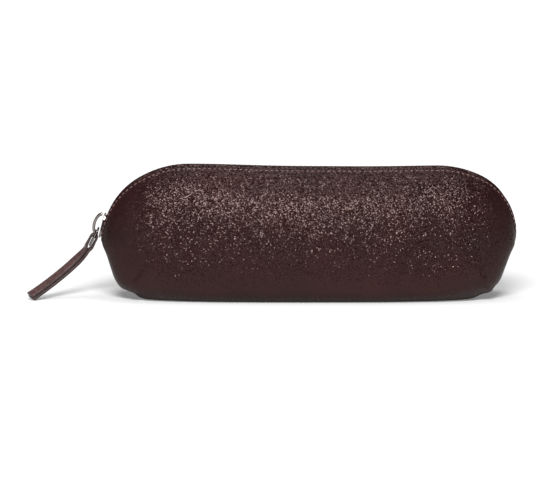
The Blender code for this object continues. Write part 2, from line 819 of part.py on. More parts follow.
def build():
    """Make every piece on the empties of its body."""
    for old in list(bpy.data.objects):
        bpy.data.objects.remove(old)
    leather = material("oxblood_leather", (0.036, 0.017, 0.018), 0.42)
    lining = material("dark_lining_cloth", (0.030, 0.022, 0.022), 0.85)
    tape = material("dark_zip_tape", (0.022, 0.013, 0.014), 0.80)
    coil = material("dark_zip_coil", (0.030, 0.016, 0.017), 0.45)
    nickel = material("nickel_plate", (0.62, 0.60, 0.58), 0.22, 1.0)

    hinge = (0, 0, RIM_HEIGHT)
    front = pivot("front_mouth_axis", hinge)
    back = pivot("back_mouth_axis", hinge)
    slider = pivot("slider_axis", SLIDER_CENTRE, back)
    link = pivot("link_axis", bar_place(), slider)
    strap = pivot("strap_axis", strap_pivot_place(), link)

    top = RIM_HEIGHT - GAP / 2
    piece("lining_lower", lower_lining(top), lining)
    for side, name, body in ((-1, "front", front), (1, "back", back)):
        piece(f"{name}_leather_lower", lower_panel(side, top), leather)
        piece(f"{name}_leather_fold", fold(side), leather)
        piece(f"{name}_leather_upper", upper_panel(side), leather, body)
        piece(f"{name}_lining_upper", upper_lining(side), lining, body)
        piece(f"{name}_zip_tape", zip_tape(side), tape, body)
        piece(f"{name}_zip_coil", zip_coil(side), coil, body, 30)
        piece(f"{name}_top_stop", top_stop(side), nickel, body, 30)
    piece("bottom_stop", bottom_stop(), nickel, back, 30)
    piece("slider_body", slider_body(), nickel, slider, 30)
    piece("slider_crown", slider_crown(), nickel, slider)
    piece("pull_link", pull_link(), nickel, link)
    piece("pull_strap", pull_strap(), leather, strap)


build()
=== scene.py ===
"""Looks of a zipped leather pencil case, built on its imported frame.

Lengths are metres, +X to the right, -Y to the front, +Z up, with the origin at
the centre of the flat base.
"""
from __future__ import annotations

import json
import logging
import math
from dataclasses import dataclass, field
from enum import Enum
from typing import Any, Callable, Iterable

import bmesh
import bpy
import numpy as np
from mathutils import Matrix, Vector

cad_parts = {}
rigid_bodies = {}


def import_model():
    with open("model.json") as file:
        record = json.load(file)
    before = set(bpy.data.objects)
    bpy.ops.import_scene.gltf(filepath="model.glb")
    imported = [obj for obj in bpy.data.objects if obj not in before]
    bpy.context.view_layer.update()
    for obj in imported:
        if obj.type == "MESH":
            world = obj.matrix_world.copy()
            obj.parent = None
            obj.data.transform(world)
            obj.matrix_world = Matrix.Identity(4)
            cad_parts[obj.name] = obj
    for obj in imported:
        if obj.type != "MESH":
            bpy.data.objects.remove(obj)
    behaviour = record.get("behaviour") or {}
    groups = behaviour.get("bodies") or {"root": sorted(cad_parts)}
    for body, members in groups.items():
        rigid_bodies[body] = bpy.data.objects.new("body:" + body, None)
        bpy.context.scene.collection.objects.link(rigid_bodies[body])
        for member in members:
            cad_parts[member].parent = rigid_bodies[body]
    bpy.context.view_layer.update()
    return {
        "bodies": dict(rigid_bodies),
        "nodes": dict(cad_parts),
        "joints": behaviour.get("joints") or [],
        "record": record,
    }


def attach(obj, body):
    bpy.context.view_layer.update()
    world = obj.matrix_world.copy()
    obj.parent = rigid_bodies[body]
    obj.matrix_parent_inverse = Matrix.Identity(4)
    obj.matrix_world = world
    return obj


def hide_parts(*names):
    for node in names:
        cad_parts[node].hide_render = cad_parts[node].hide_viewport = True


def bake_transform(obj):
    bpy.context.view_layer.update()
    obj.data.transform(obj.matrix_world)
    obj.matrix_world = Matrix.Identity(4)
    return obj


LOG = logging.getLogger("pencil_case")
MM = 0.001
# How near two points of a panel are when they are one, and of a small metal part.
PANEL_MERGE, METAL_MERGE = 2e-6, 1e-8


class Side(Enum):
    """The two halves of the case that meet at the zip."""

    FRONT = -1
    BACK = 1

    @property
    def label(self) -> str:
        """The half's name, as its pieces carry it."""
        return self.name.lower()

    @property
    def body(self) -> str:
        """The moving body that the half's upper part belongs to."""
        return f"{self.label}_side"


# Sums and lines


def ease(t: np.ndarray) -> np.ndarray:
    """The smooth step from 0 to 1, level at both ends."""
    return t * t * (3 - 2 * t)


def ramp(x: np.ndarray, low: float, high: float) -> np.ndarray:
    """The straight step from 0 at low to 1 at high, which may be the lower of the two."""
    return np.clip((x - low) / (high - low), 0, 1)


def soft_step(x: np.ndarray, place: float, width: float) -> np.ndarray:
    """The rounded step from 0 to 1 round a place, downwards where the width is negative."""
    return 1 / (1 + np.exp((place - x) / width))


def unit(ways: np.ndarray) -> np.ndarray:
    """Vectors brought to length 1."""
    return ways / np.linalg.norm(ways, axis=-1, keepdims=True)


def travelled(points: np.ndarray) -> np.ndarray:
    """Length from the first row of points to each row."""
    steps = np.linalg.norm(np.diff(points, axis=0), axis=-1)
    return np.concatenate([np.zeros_like(steps[:1]), np.cumsum(steps, axis=0)])


def read_off(at: Any, along: np.ndarray, columns: np.ndarray) -> np.ndarray:
    """Values at the lengths in at, from columns of values known at the rising lengths along."""
    return np.stack([np.interp(at, along, column) for column in columns.T], axis=-1)


@dataclass(frozen=True)
class Hump:
    """A smooth rise or dent: where it is, how wide and how high."""

    place: float
    width: float
    height: float = 1.0

    def at(self, x: np.ndarray) -> np.ndarray:
        """The height at each x."""
        return self.height * np.exp(-(((x - self.place) / self.width) ** 2))


# Nodes and meshes


def linear(code: str) -> tuple[float, float, float, float]:
    """Turn an sRGB hex colour into linear values.

    Args:
        code: six hex digits.

    Returns:
        Linear red, green, blue and a full alpha.
    """
    parts = [int(code[i:i + 2], 16) / 255 for i in (0, 2, 4)]
    return tuple(c / 12.92 if c <= 0.04045 else ((c + 0.055) / 1.055) ** 2.4 for c in parts) + (1.0,)


def feed(tree: bpy.types.NodeTree, node: bpy.types.Node, inputs: dict[Any, Any]) -> None:
    """Set a node's inputs.

    Args:
        tree: the node's tree.
        node: the node.
        inputs: input name or place to a value, or to the socket that feeds it.
    """
    for key, value in inputs.items():
        if isinstance(value, bpy.types.NodeSocket):
            tree.links.new(value, node.inputs[key])
        else:
            node.inputs[key].default_value = value


def add(tree: bpy.types.NodeTree, kind: str, inputs: dict[Any, Any] | None = None,
        **settings: Any) -> bpy.types.Node:
    """Add a node with its settings and its inputs.

    Args:
        tree: the tree that gets the node.
        kind: the node's type name.
        inputs: input name or place to a value, or to the socket that feeds it.
        settings: the node's own options.

    Returns:
        The new node.
    """
    made = tree.nodes.new(kind)
    for name, value in settings.items():
        setattr(made, name, value)
    feed(tree, made, inputs or {})
    return made


def new_material(name: str) -> tuple[bpy.types.Material, bpy.types.NodeTree, Any]:
    """Start a node material.

    Args:
        name: the material's name.

    Returns:
        The material, its tree and the socket of Object coordinates.
    """
    made = bpy.data.materials.new(name)
    made.use_nodes = True
    return made, made.node_tree, add(made.node_tree, "ShaderNodeTexCoord").outputs["Object"]


def new_group(name: str, sizes: Iterable[str]) -> tuple[bpy.types.NodeTree, Any]:
    """Start a Geometry Nodes tree.

    Args:
        name: the tree's name.
        sizes: names of the inputs that are numbers.

    Returns:
        The tree and the sockets of its inputs, the last of them the finish.
    """
    tree = bpy.data.node_groups.new(name, "GeometryNodeTree")
    io = tree.interface
    io.new_socket("Geometry", in_out="INPUT", socket_type="NodeSocketGeometry")
    for label in sizes:
        io.new_socket(label, in_out="INPUT", socket_type="NodeSocketFloat")
    io.new_socket("Finish", in_out="INPUT", socket_type="NodeSocketMaterial")
    io.new_socket("Geometry", in_out="OUTPUT", socket_type="NodeSocketGeometry")
    return tree, add(tree, "NodeGroupInput").outputs


def end_group(tree: bpy.types.NodeTree, shape: bpy.types.NodeSocket,
              finish: bpy.types.NodeSocket) -> None:
    """End a Geometry Nodes tree in plain geometry with its finish.

    Args:
        tree: the tree.
        shape: the socket of the finished shape.
        finish: the socket of the material.
    """
    plain = add(tree, "GeometryNodeRealizeInstances", {0: shape})
    coated = add(tree, "GeometryNodeSetMaterial",
                 {"Geometry": plain.outputs[0], "Material": finish})
    add(tree, "NodeGroupOutput", {"Geometry": coated.outputs["Geometry"]})


def placed(name: str, data: Any) -> bpy.types.Object:
    """Put new data into the scene as an object at the origin."""
    made = bpy.data.objects.new(name, data)
    bpy.context.scene.collection.objects.link(made)
    return made


def mesh_object(name: str, points: np.ndarray, faces: list[tuple[int, ...]],
                edges: Iterable[tuple[int, int]] = ()) -> bpy.types.Object:
    """Make a smooth-shaded object from points and faces.

    Args:
        name: the object's name.
        points: its points.
        faces: corner numbers of each face.
        edges: point numbers of each loose edge.

    Returns:
        The object, in the scene.
    """
    mesh = bpy.data.meshes.new(name)
    mesh.from_pydata([tuple(map(float, p)) for p in points], list(edges), faces)
    mesh.validate()
    mesh.shade_smooth()
    return placed(name, mesh)


def node_copy(frame: dict[str, Any], node: str, name: str) -> bpy.types.Object:
    """Copy a CAD node's solid.

    Args:
        frame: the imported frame.
        node: the node's name.
        name: the copy's name.

    Returns:
        The copy, at the origin with its place in its mesh.
    """
    source = frame["nodes"][node]
    mesh = source.data.copy()
    mesh.transform(source.matrix_world)
    return placed(name, mesh)


def closed_up(made: bpy.types.Object, merge: float) -> bpy.types.Object:
    """Merge an object's doubled points and turn its faces outwards.

    Args:
        made: the object.
        merge: how near two points are when they are one.

    Returns:
        The same object.
    """
    bm = bmesh.new()
    bm.from_mesh(made.data)
    bmesh.ops.remove_doubles(bm, verts=bm.verts, dist=merge)
    bmesh.ops.recalc_face_normals(bm, faces=bm.faces)
    bm.to_mesh(made.data)
    bm.free()
    made.data.shade_smooth()
    return made


def made_plain(made: bpy.types.Object) -> bpy.types.Object:
    """Replace an object's modifiers by the smooth-shaded mesh that they give.

    Args:
        made: the object.

    Returns:
        The same object.
    """
    seen = made.evaluated_get(bpy.context.evaluated_depsgraph_get())
    mesh = bpy.data.meshes.new_from_object(seen)
    made.modifiers.clear()
    old, made.data = made.data, mesh
    bpy.data.meshes.remove(old)
    made.data.shade_smooth()
    return made


def shaped(made: bpy.types.Object, tree: bpy.types.NodeTree,
           values: dict[str, Any]) -> bpy.types.Object:
    """Run a Geometry Nodes tree on an object and keep the plain mesh that it gives.

    Args:
        made: the object.
        tree: the tree.
        values: the tree's inputs by name.

    Returns:
        The same object.
    """
    modifier = made.modifiers.new(tree.name, "NODES")
    modifier.node_group = tree
    for item in tree.interface.items_tree:
        if item.in_out == "INPUT" and item.name in values:
            modifier[item.identifier] = values[item.name]
    return made_plain(made)


def closed_pair(outer: np.ndarray, inner: np.ndarray, side: Side, name: str) -> bpy.types.Object:
    """Close two grids into one thin body.

    Args:
        outer: the outer face's points, in the half where y is positive.
        inner: the inner face's points.
        side: the half that the body belongs to.
        name: the body's name.

    Returns:
        The closed body.
    """
    rows, width = outer.shape[:2]
    size = rows * width
    points = np.concatenate([outer.reshape(-1, 3), inner.reshape(-1, 3)])
    points[:, 1] *= side.value
    faces = [(a, a + 1, a + width + 1, a + width)
             for j in range(rows - 1) for a in range(j * width, j * width + width - 1)]
    faces += [tuple(size + k for k in face[::-1]) for face in faces]
    ring = list(range(width))
    ring += [j * width + width - 1 for j in range(1, rows)]
    ring += [(rows - 1) * width + i for i in range(width - 2, -1, -1)]
    ring += [j * width for j in range(rows - 2, 0, -1)]
    faces += [(a, size + a, size + b, b) for a, b in zip(ring, ring[1:] + ring[:1])]
    return closed_up(mesh_object(name, points, faces), PANEL_MERGE)


# The case's form


@dataclass(frozen=True)
class CaseForm:
    """The sizes that every piece of the case takes its place from."""

    rim: float = 27.0 * MM
    left: float = 104.8 * MM
    right: float = 105.0 * MM
    half_depth: float = 27.0 * MM
    rim_roundness: float = 2.6
    base_left: float = 95.4 * MM
    base_right: float = 94.6 * MM
    base_half_depth: float = 24.8 * MM
    base_roundness: float = 3.4
    base_edge: float = 6.0 * MM
    base_end: float = 12.0 * MM
    side_belly: float = 1.0 * MM
    end_belly: float = -0.8 * MM
    left_end: float = 37.8 * MM
    left_shoulder: float = 50.0 * MM
    left_turn: float = math.radians(60)
    right_end: float = 29.0 * MM
    right_shoulder: float = 55.0 * MM
    right_turn: float = math.radians(66)
    right_upright: float = 7.3 * MM
    sag: float = 0.6 * MM
    edge: float = 5.8 * MM
    slot_end: float = 7.0 * MM
    section: float = 1.8
    fan: float = 1.5
    leather: float = 1.3 * MM
    slider_place: float = 9.3 * MM
    slider_half: float = 6.3 * MM

    def zip_points(self) -> np.ndarray:
        """Lay out the zip's line: an end arc and a shoulder on each side of a level ridge.

        Returns:
            Its points in the XZ plane, from the left end to the right.
        """

        def arc(cx: float, cz: float, radius: float, start: float, end: float) -> np.ndarray:
            """Points of an arc, its angles measured up from the left."""
            turn = np.linspace(start, end, 200)
            return np.c_[cx - radius * np.cos(turn), cz + radius * np.sin(turn)]

        cx, cz = -self.left + self.left_end, self.rim
        back = self.left_shoulder - self.left_end
        wide = (cx + back * math.cos(self.left_turn), cz - back * math.sin(self.left_turn))
        left_end = arc(cx, cz, self.left_end, 0, self.left_turn)
        left_shoulder = arc(*wide, self.left_shoulder, self.left_turn, math.pi / 2)
        cx, cz = self.right - self.right_end, self.rim + self.right_upright
        back = self.right_shoulder - self.right_end
        wide = (cx - back * math.cos(self.right_turn), cz - back * math.sin(self.right_turn))
        right_shoulder = arc(*wide, self.right_shoulder, math.pi / 2, math.pi - self.right_turn)
        right_end = arc(cx, cz, self.right_end, math.pi - self.right_turn, math.pi)
        (x0, z0), (x1, z1) = left_shoulder[-1], right_shoulder[0]
        t = np.linspace(0, 1, 300)[1:-1]
        sag = self.sag * np.sin(math.pi * t) ** 2
        ridge = np.c_[x0 + (x1 - x0) * t, z0 + (z1 - z0) * ease(t) - sag]
        return np.concatenate([left_end, left_shoulder[1:], ridge, right_shoulder,
                               right_end[1:], [[self.right, self.rim]]])

    def wall(self, z: np.ndarray) -> tuple[np.ndarray, ...]:
        """Measure the walls at each height.

        Args:
            z: the heights.

        Returns:
            Left reach, right reach, half depth and roundness.
        """
        up = np.clip(z / self.rim, 0, 1)
        belly = np.sin(math.pi * up)
        return (
            self.base_left + (self.left - self.base_left) * up + self.end_belly * belly,
            self.base_right + (self.right - self.base_right) * up + self.end_belly * belly,
            self.base_half_depth + (self.half_depth - self.base_half_depth) * up
            + self.side_belly * belly,
            self.base_roundness + (self.rim_roundness - self.base_roundness) * up,
        )


class ZipLine:
    """The zip's line over the ridge, read by its length along."""

    samples: int = 1201
    smoothing: int = 17

    def __init__(self, form: CaseForm) -> None:
        """Measure the line and smooth its slope.

        Args:
            form: the case's sizes.
        """
        self.form = form
        points = form.zip_points()
        steps = np.linalg.norm(np.diff(points, axis=0), axis=1)
        points = points[np.concatenate([[True], steps > 1e-9])]
        along = travelled(points)
        self.length = float(along[-1])
        self.even = np.linspace(0, self.length, self.samples)
        self.xz = read_off(self.even, along, points)
        kernel = np.hanning(self.smoothing)
        kernel /= kernel.sum()
        margin = self.smoothing // 2
        slope = np.gradient(self.xz, self.even, axis=0)
        slope = np.pad(slope, ((margin, margin), (0, 0)), mode="edge")
        self.slope = np.stack([np.convolve(column, kernel, "valid") for column in slope.T], axis=1)

    def at(self, s: np.ndarray) -> np.ndarray:
        """Points of the line at lengths s."""
        return read_off(s, self.even, self.xz)

    def normal(self, s: np.ndarray) -> np.ndarray:
        """Outward normals of the line at lengths s."""
        way = unit(read_off(s, self.even, self.slope))
        return np.stack([-way[..., 1], way[..., 0]], axis=-1)

    def band(self, s: np.ndarray, y: np.ndarray, depth: np.ndarray | float) -> np.ndarray:
        """Find points beside the line.

        Args:
            s: lengths along the line.
            y: each point's way from the middle.
            depth: each point's depth under the outer face.

        Returns:
            The points.
        """
        p, n = self.at(s), self.normal(s)
        s, y, depth = np.broadcast_arrays(s, y, depth)
        return np.stack([p[..., 0] - n[..., 0] * depth, y, p[..., 1] - n[..., 1] * depth], axis=-1)

    def edge_at(self, s: np.ndarray) -> np.ndarray:
        """Half the gap between the leather edges at s, closing to nothing at the zip's ends."""
        near = np.minimum(s, self.length - s)
        return self.form.edge * np.sqrt(np.clip(near / self.form.slot_end, 0, 1) + 1e-9)


# Finishes


@dataclass(frozen=True)
class GrainedLeather:
    """Vegetable-tanned calf, milled so that it has a fine pebble, dyed dark oxblood and waxed.

    Each pebble catches the studio light as one small glint where the leather faces
    the lamp, and the hollows between the pebbles are darker, partly with dye that gathers
    there and partly as painted shade. The pebble is drawn flat, and is duller, where the
    leather is pulled round the base and the ends.
    """

    name: str = "oxblood_grained_leather"
    # Dye from the hollows to the pebble tops. The lightest stands partly for wear and partly for
    # painted highlight.
    deep: str = "170506"
    body: str = "1e0708"
    worn: str = "250c0d"
    sheen: str = "ffddd6"
    # Clouds of the dye, how much the hollows darken it, as dye that gathers there and as
    # painted shade, and the tones that the three colours stand for.
    clouds: float = 24 * MM
    hollow_dye: float = 0.22
    tones: tuple[float, float] = (0.22, 0.68)
    body_tone: float = 0.55
    roughness: float = 0.23
    hollow_gloss: tuple[float, float] = (-0.05, 0.10)
    specular: float = 0.36
    # Pebbles, their wrinkles as shares of them, and how far both wander.
    pebble: float = 0.50 * MM
    wrinkle: float = 0.4
    wrinkle_depth: float = 0.16
    wander: float = 1.9 * MM
    wander_reach: float = 0.3 * MM
    # Depth of the grain, patches where it is shallower or deeper, and the swell.
    height: float = 0.05 * MM
    patches: float = 7 * MM
    patch_depths: tuple[float, float] = (0.75, 1.2)
    swell: float = 0.12 * MM
    # Lean of the pebbles, and the share of it that is left at a flat angle of view.
    tilt: float = 1.75
    flat_view: tuple[float, float] = (0.35, 0.80)
    flat_tilt: float = 0.12
    # Where the leather is pulled: round the ends, measured from the case's middle, and
    # up from the base. With it, the grain that is left and the gloss that is lost.
    middle: float = 4 * MM
    ends: tuple[float, float] = (77 * MM, 94 * MM)
    end_grain: float = 0.35
    end_dull: float = 0.22
    pulled: tuple[float, float] = (6 * MM, 32 * MM)
    pulled_grain: float = 0.32
    # The foot: dulled by rubbing on the desk, and painted darker as shade next to the desk.
    rubbed: tuple[float, float] = (1 * MM, 7 * MM)
    rubbed_dull: float = 0.40
    shaded: tuple[float, float] = (1 * MM, 6 * MM)
    foot_shade: float = 0.35

    def build(self) -> bpy.types.Material:
        """Make the material.

        Returns:
            A node material on Object coordinates.
        """
        made, tree, place = new_material(self.name)
        high = add(tree, "ShaderNodeSeparateXYZ", {0: place}).outputs
        aside = add(tree, "ShaderNodeMath", {0: high["X"], 1: -self.middle}, operation="ADD")
        outer = add(tree, "ShaderNodeMath", {0: aside.outputs[0]}, operation="ABSOLUTE")
        cells, fine = self.pebbles(tree, place)
        hollow = add(tree, "ShaderNodeMath", {0: cells["Distance"], 1: 2.0}, operation="POWER")
        left = self.grain_left(tree, high["Z"], outer.outputs[0])
        bump = self.relief(tree, place, hollow.outputs[0], fine["Distance"], left)
        feed(tree, tree.nodes["Principled BSDF"], {
            "Base Color": self.colour(tree, place, hollow.outputs[0], high["Z"]),
            "Roughness": self.gloss(tree, hollow.outputs[0], high["Z"], outer.outputs[0]),
            "Normal": self.glints(tree, cells["Color"], bump, left),
            "Specular IOR Level": self.specular,
            "Specular Tint": linear(self.sheen)})
        made.diffuse_color = linear(self.body)
        return made

    def pebbles(self, tree: bpy.types.NodeTree, place: Any) -> tuple[Any, Any]:
        """Lay the pebbles and their finer wrinkles, both wandering a little.

        Args:
            tree: the material's tree.
            place: the coordinates' socket.

        Returns:
            The outputs of the pebbles' cells and of the wrinkles' cells.
        """
        warp = add(tree, "ShaderNodeTexNoise", {"Vector": place, "Scale": 1 / self.wander,
                   "Detail": 2.0})
        shift = add(tree, "ShaderNodeVectorMath", {0: warp.outputs["Color"],
                    "Scale": self.wander_reach}, operation="SCALE")
        bent = add(tree, "ShaderNodeVectorMath", {0: place, 1: shift.outputs["Vector"]},
                   operation="ADD").outputs["Vector"]
        cells, fine = (add(tree, "ShaderNodeTexVoronoi", {"Vector": bent, "Scale": 1 / size})
                       for size in (self.pebble, self.pebble * self.wrinkle))
        return cells.outputs, fine.outputs

    def grain_left(self, tree: bpy.types.NodeTree, high: Any, outer: Any) -> Any:
        """How much of the grain is left where the leather is pulled.

        Args:
            tree: the material's tree.
            high: the height's socket.
            outer: the socket of the way out from the case's middle.

        Returns:
            The share's socket.
        """
        foot = add(tree, "ShaderNodeMapRange", {"Value": high, "From Min": self.pulled[0],
                   "From Max": self.pulled[1], "To Min": self.pulled_grain, "To Max": 1.0})
        ends = add(tree, "ShaderNodeMapRange", {"Value": outer, "From Min": self.ends[0],
                   "From Max": self.ends[1], "To Min": 1.0, "To Max": self.end_grain})
        return add(tree, "ShaderNodeMath", {0: foot.outputs["Result"],
                   1: ends.outputs["Result"]}, operation="MULTIPLY").outputs[0]

    def relief(self, tree: bpy.types.NodeTree, place: Any, hollow: Any, fine: Any,
               left: Any) -> Any:
        """Raise the pebbles, deeper in some patches than in others, on a slow swell.

        Args:
            tree: the material's tree.
            place: the coordinates' socket.
            hollow: the depth of the hollows between the pebbles.
            fine: the depth of the hollows between the wrinkles.
            left: how much of the grain is left.

        Returns:
            The socket of the bumped normal.
        """
        small = add(tree, "ShaderNodeMath", {0: fine, 1: self.wrinkle_depth, 2: hollow},
                    operation="MULTIPLY_ADD")
        vary = add(tree, "ShaderNodeTexNoise", {"Vector": place, "Scale": 1 / self.patches,
                   "Detail": 3.0})
        depth = add(tree, "ShaderNodeMapRange", {"Value": vary.outputs["Fac"], "From Min": 0.3,
                    "From Max": 0.7, "To Min": -self.patch_depths[0],
                    "To Max": -self.patch_depths[1]})
        stretch = add(tree, "ShaderNodeMath", {0: depth.outputs["Result"], 1: left},
                      operation="MULTIPLY")
        relief = add(tree, "ShaderNodeMath", {0: small.outputs[0], 1: stretch.outputs[0]},
                     operation="MULTIPLY")
        swell = add(tree, "ShaderNodeBump", {"Height": vary.outputs["Fac"], "Strength": 1.0,
                    "Distance": self.swell})
        return add(tree, "ShaderNodeBump", {"Height": relief.outputs[0], "Strength": 1.0,
                   "Distance": self.height, "Normal": swell.outputs["Normal"]}).outputs["Normal"]

    def glints(self, tree: bpy.types.NodeTree, cells: Any, bump: Any, left: Any) -> Any:
        """Lean each pebble its own way, so that some of them face the lamp.

        The lean fades where the surface is seen at a flat angle, because there a real
        pebble hides behind the next one.

        Args:
            tree: the material's tree.
            cells: the socket of each pebble's own colour.
            bump: the socket of the bumped normal.
            left: how much of the grain is left.

        Returns:
            The socket of the normal.
        """
        lean = add(tree, "ShaderNodeVectorMath", {0: cells, 1: (0.5, 0.5, 0.5)},
                   operation="SUBTRACT")
        steep = add(tree, "ShaderNodeVectorMath", {0: lean.outputs["Vector"]},
                    operation="LENGTH")
        much = add(tree, "ShaderNodeMath", {0: steep.outputs["Value"], 1: self.tilt},
                   operation="MULTIPLY")
        facing = add(tree, "ShaderNodeLayerWeight", {"Blend": 0.5}).outputs["Facing"]
        calm = add(tree, "ShaderNodeMapRange", {"Value": facing,
                   "From Min": self.flat_view[0], "From Max": self.flat_view[1],
                   "To Min": 1.0, "To Max": self.flat_tilt})
        shown = add(tree, "ShaderNodeMath", {0: much.outputs[0], 1: calm.outputs["Result"]},
                    operation="MULTIPLY")
        fades = add(tree, "ShaderNodeMath", {0: shown.outputs[0], 1: left},
                    operation="MULTIPLY")
        leaning = add(tree, "ShaderNodeVectorMath", {0: lean.outputs["Vector"],
                      "Scale": fades.outputs[0]}, operation="SCALE")
        turned = add(tree, "ShaderNodeVectorMath", {0: bump, 1: leaning.outputs["Vector"]},
                     operation="ADD")
        return add(tree, "ShaderNodeVectorMath", {0: turned.outputs["Vector"]},
                   operation="NORMALIZE").outputs["Vector"]

    def gloss(self, tree: bpy.types.NodeTree, hollow: Any, high: Any, outer: Any) -> Any:
        """Dull the hollows, the foot that rubs on the desk, and the drawn ends.

        Args:
            tree: the material's tree.
            hollow: the depth of the hollows between the pebbles.
            high: the height's socket.
            outer: the socket of the way out from the case's middle.

        Returns:
            The roughness's socket.
        """
        rough = add(tree, "ShaderNodeMapRange", {"Value": hollow, "From Min": 0.0,
                    "From Max": 0.5, "To Min": self.roughness + self.hollow_gloss[0],
                    "To Max": self.roughness + self.hollow_gloss[1]})
        rubbed = add(tree, "ShaderNodeMapRange", {"Value": high, "From Min": self.rubbed[0],
                     "From Max": self.rubbed[1], "To Min": self.rubbed_dull, "To Max": 0.0})
        drawn = add(tree, "ShaderNodeMapRange", {"Value": outer, "From Min": self.ends[0],
                    "From Max": self.ends[1], "To Min": 0.0, "To Max": self.end_dull})
        both = add(tree, "ShaderNodeMath", {0: drawn.outputs["Result"],
                   1: rubbed.outputs["Result"]}, operation="ADD")
        return add(tree, "ShaderNodeMath", {0: rough.outputs["Result"], 1: both.outputs[0]},
                   operation="ADD").outputs[0]

    def colour(self, tree: bpy.types.NodeTree, place: Any, hollow: Any, high: Any) -> Any:
        """Cloud the dye, deepen it in the hollows, partly as painted shade, and paint shade along the
        edge at the desk.

        Args:
            tree: the material's tree.
            place: the coordinates' socket.
            hollow: the depth of the hollows between the pebbles.
            high: the height's socket.

        Returns:
            The colour's socket.
        """
        cloud = add(tree, "ShaderNodeTexNoise", {"Vector": place, "Scale": 1 / self.clouds,
                    "Detail": 4.0, "Roughness": 0.5})
        # Darker in the hollows, lighter on the pebble tops: partly dye and wear, partly painted shade
        # and painted highlight.
        lower = add(tree, "ShaderNodeMath", {0: hollow, 1: -self.hollow_dye,
                    2: cloud.outputs["Fac"]}, operation="MULTIPLY_ADD")
        tone = add(tree, "ShaderNodeMapRange", {"Value": lower.outputs[0],
                   "From Min": self.tones[0], "From Max": self.tones[1]})
        dye = add(tree, "ShaderNodeValToRGB", {"Fac": tone.outputs["Result"]})
        stops = dye.color_ramp.elements
        stops[0].color, stops[1].color = linear(self.deep), linear(self.worn)
        stops.new(self.body_tone).color = linear(self.body)
        # Painted shade: the colour is darkened over the lowest millimetres, next to the desk.
        foot = add(tree, "ShaderNodeMapRange", {"Value": high, "From Min": self.shaded[0],
                   "From Max": self.shaded[1], "To Min": self.foot_shade, "To Max": 1.0})
        return add(tree, "ShaderNodeVectorMath", {0: dye.outputs["Color"],
                   "Scale": foot.outputs["Result"]}, operation="SCALE").outputs["Vector"]


@dataclass(frozen=True)
class SimpleFinish:
    """A finish of one colour, with a fine clouding of its tone and a fine bump."""

    name: str
    colour: str
    second: str
    roughness: float
    metallic: float = 0.0
    cloud: float = 2.0 * MM
    texture: float = 0.3 * MM
    bump: float = 0.2
    stretch: tuple[float, float, float] = (1.0, 1.0, 1.0)
    bump_height: float = 0.05 * MM
    spread: float = 0.05

    def build(self) -> bpy.types.Material:
        """Make the material.

        Returns:
            A node material on Object coordinates.
        """
        made, tree, place = new_material(self.name)
        mapped = add(tree, "ShaderNodeMapping", {"Vector": place, "Scale": self.stretch})
        cloud = add(tree, "ShaderNodeTexNoise", {"Vector": place, "Scale": 1 / self.cloud,
                    "Detail": 3.0})
        tone = add(tree, "ShaderNodeValToRGB", {"Fac": cloud.outputs["Fac"]})
        stops = tone.color_ramp.elements
        stops[0].position, stops[1].position = 0.35, 0.65
        stops[0].color, stops[1].color = linear(self.colour), linear(self.second)
        fine = add(tree, "ShaderNodeTexNoise", {"Vector": mapped.outputs["Vector"],
                   "Scale": 1 / self.texture, "Detail": 2.0})
        bump = add(tree, "ShaderNodeBump", {"Height": fine.outputs["Fac"], "Strength": self.bump,
                   "Distance": self.bump_height})
        rough = add(tree, "ShaderNodeMapRange", {"Value": cloud.outputs["Fac"], "From Min": 0.3,
                    "From Max": 0.7, "To Min": self.roughness - self.spread,
                    "To Max": self.roughness + self.spread})
        feed(tree, tree.nodes["Principled BSDF"], {
            "Base Color": tone.outputs["Color"], "Roughness": rough.outputs["Result"],
            "Normal": bump.outputs["Normal"], "Metallic": self.metallic})
        made.diffuse_color = linear(self.colour)
        return made


# Strip leather of the pull: pressed smooth, so it reads a little lighter and plainer.
PULL_LEATHER = SimpleFinish("oxblood_strip_leather", "452f2e", "5f4745", 0.36,
                            cloud=2 * MM, texture=0.7 * MM, bump=0.9)
# Cut and painted leather edge: dark and dull.
EDGE_PAINT = SimpleFinish("painted_leather_edge", "2a1a1a", "3a2827", 0.50, texture=0.5 * MM)
# Spun viscose lining, twill woven: matt and dark.
LINING_CLOTH = SimpleFinish("dark_twill_lining", "2a2023", "352a2d", 0.85, cloud=0.8 * MM,
                            bump=0.7, stretch=(1.0, 0.2, 1.0))
# Polyester zip tape, woven in fine ribs along its length: matt, nearly black.
ZIP_TAPE = SimpleFinish("woven_zip_tape", "1d1314", "2a1c1e", 0.80, cloud=0.7 * MM,
                        texture=0.4 * MM, bump=0.8, stretch=(0.3, 1.0, 0.3))
# Nylon monofilament coil, heat set: smooth with a soft shine.
ZIP_COIL = SimpleFinish("nylon_coil", "382627", "463233", 0.30, bump=0.05)
# Bonded nylon sewing thread, waxed: a touch lighter than the leather.
THREAD = SimpleFinish("waxed_sewing_thread", "5e4745", "765d5a", 0.45, cloud=0.6 * MM,
                      texture=0.25 * MM, bump=0.5)
# Nickel plate over cast zinc: bright, with tumbling left in it as a soft ripple.
NICKEL = SimpleFinish("nickel_plate", "7d7471", "8f8683", 0.15, metallic=1.0, cloud=2.5 * MM,
                      texture=1.6 * MM, bump=0.04)


@dataclass
class Wardrobe:
    """Every finish of the case, each built once."""

    made: dict[str, bpy.types.Material] = field(default_factory=dict)

    def of(self, finish: Any) -> bpy.types.Material:
        """The material of a finish, made the first time that it is asked for."""
        if finish.name not in self.made:
            self.made[finish.name] = finish.build()
        return self.made[finish.name]

    def dress(self, piece: bpy.types.Object, slot: str, *finishes: Any) -> None:
        """Give a piece its finishes.

        Args:
            piece: the object to dress.
            slot: the record's material slot; not used.
            finishes: the finishes, in the order of the mesh's material numbers.
        """
        if len(finishes) == 1:
            # This also brings every face's material number back to 0.
            piece.data.materials.clear()
        for finish in finishes:
            piece.data.materials.append(self.of(finish))


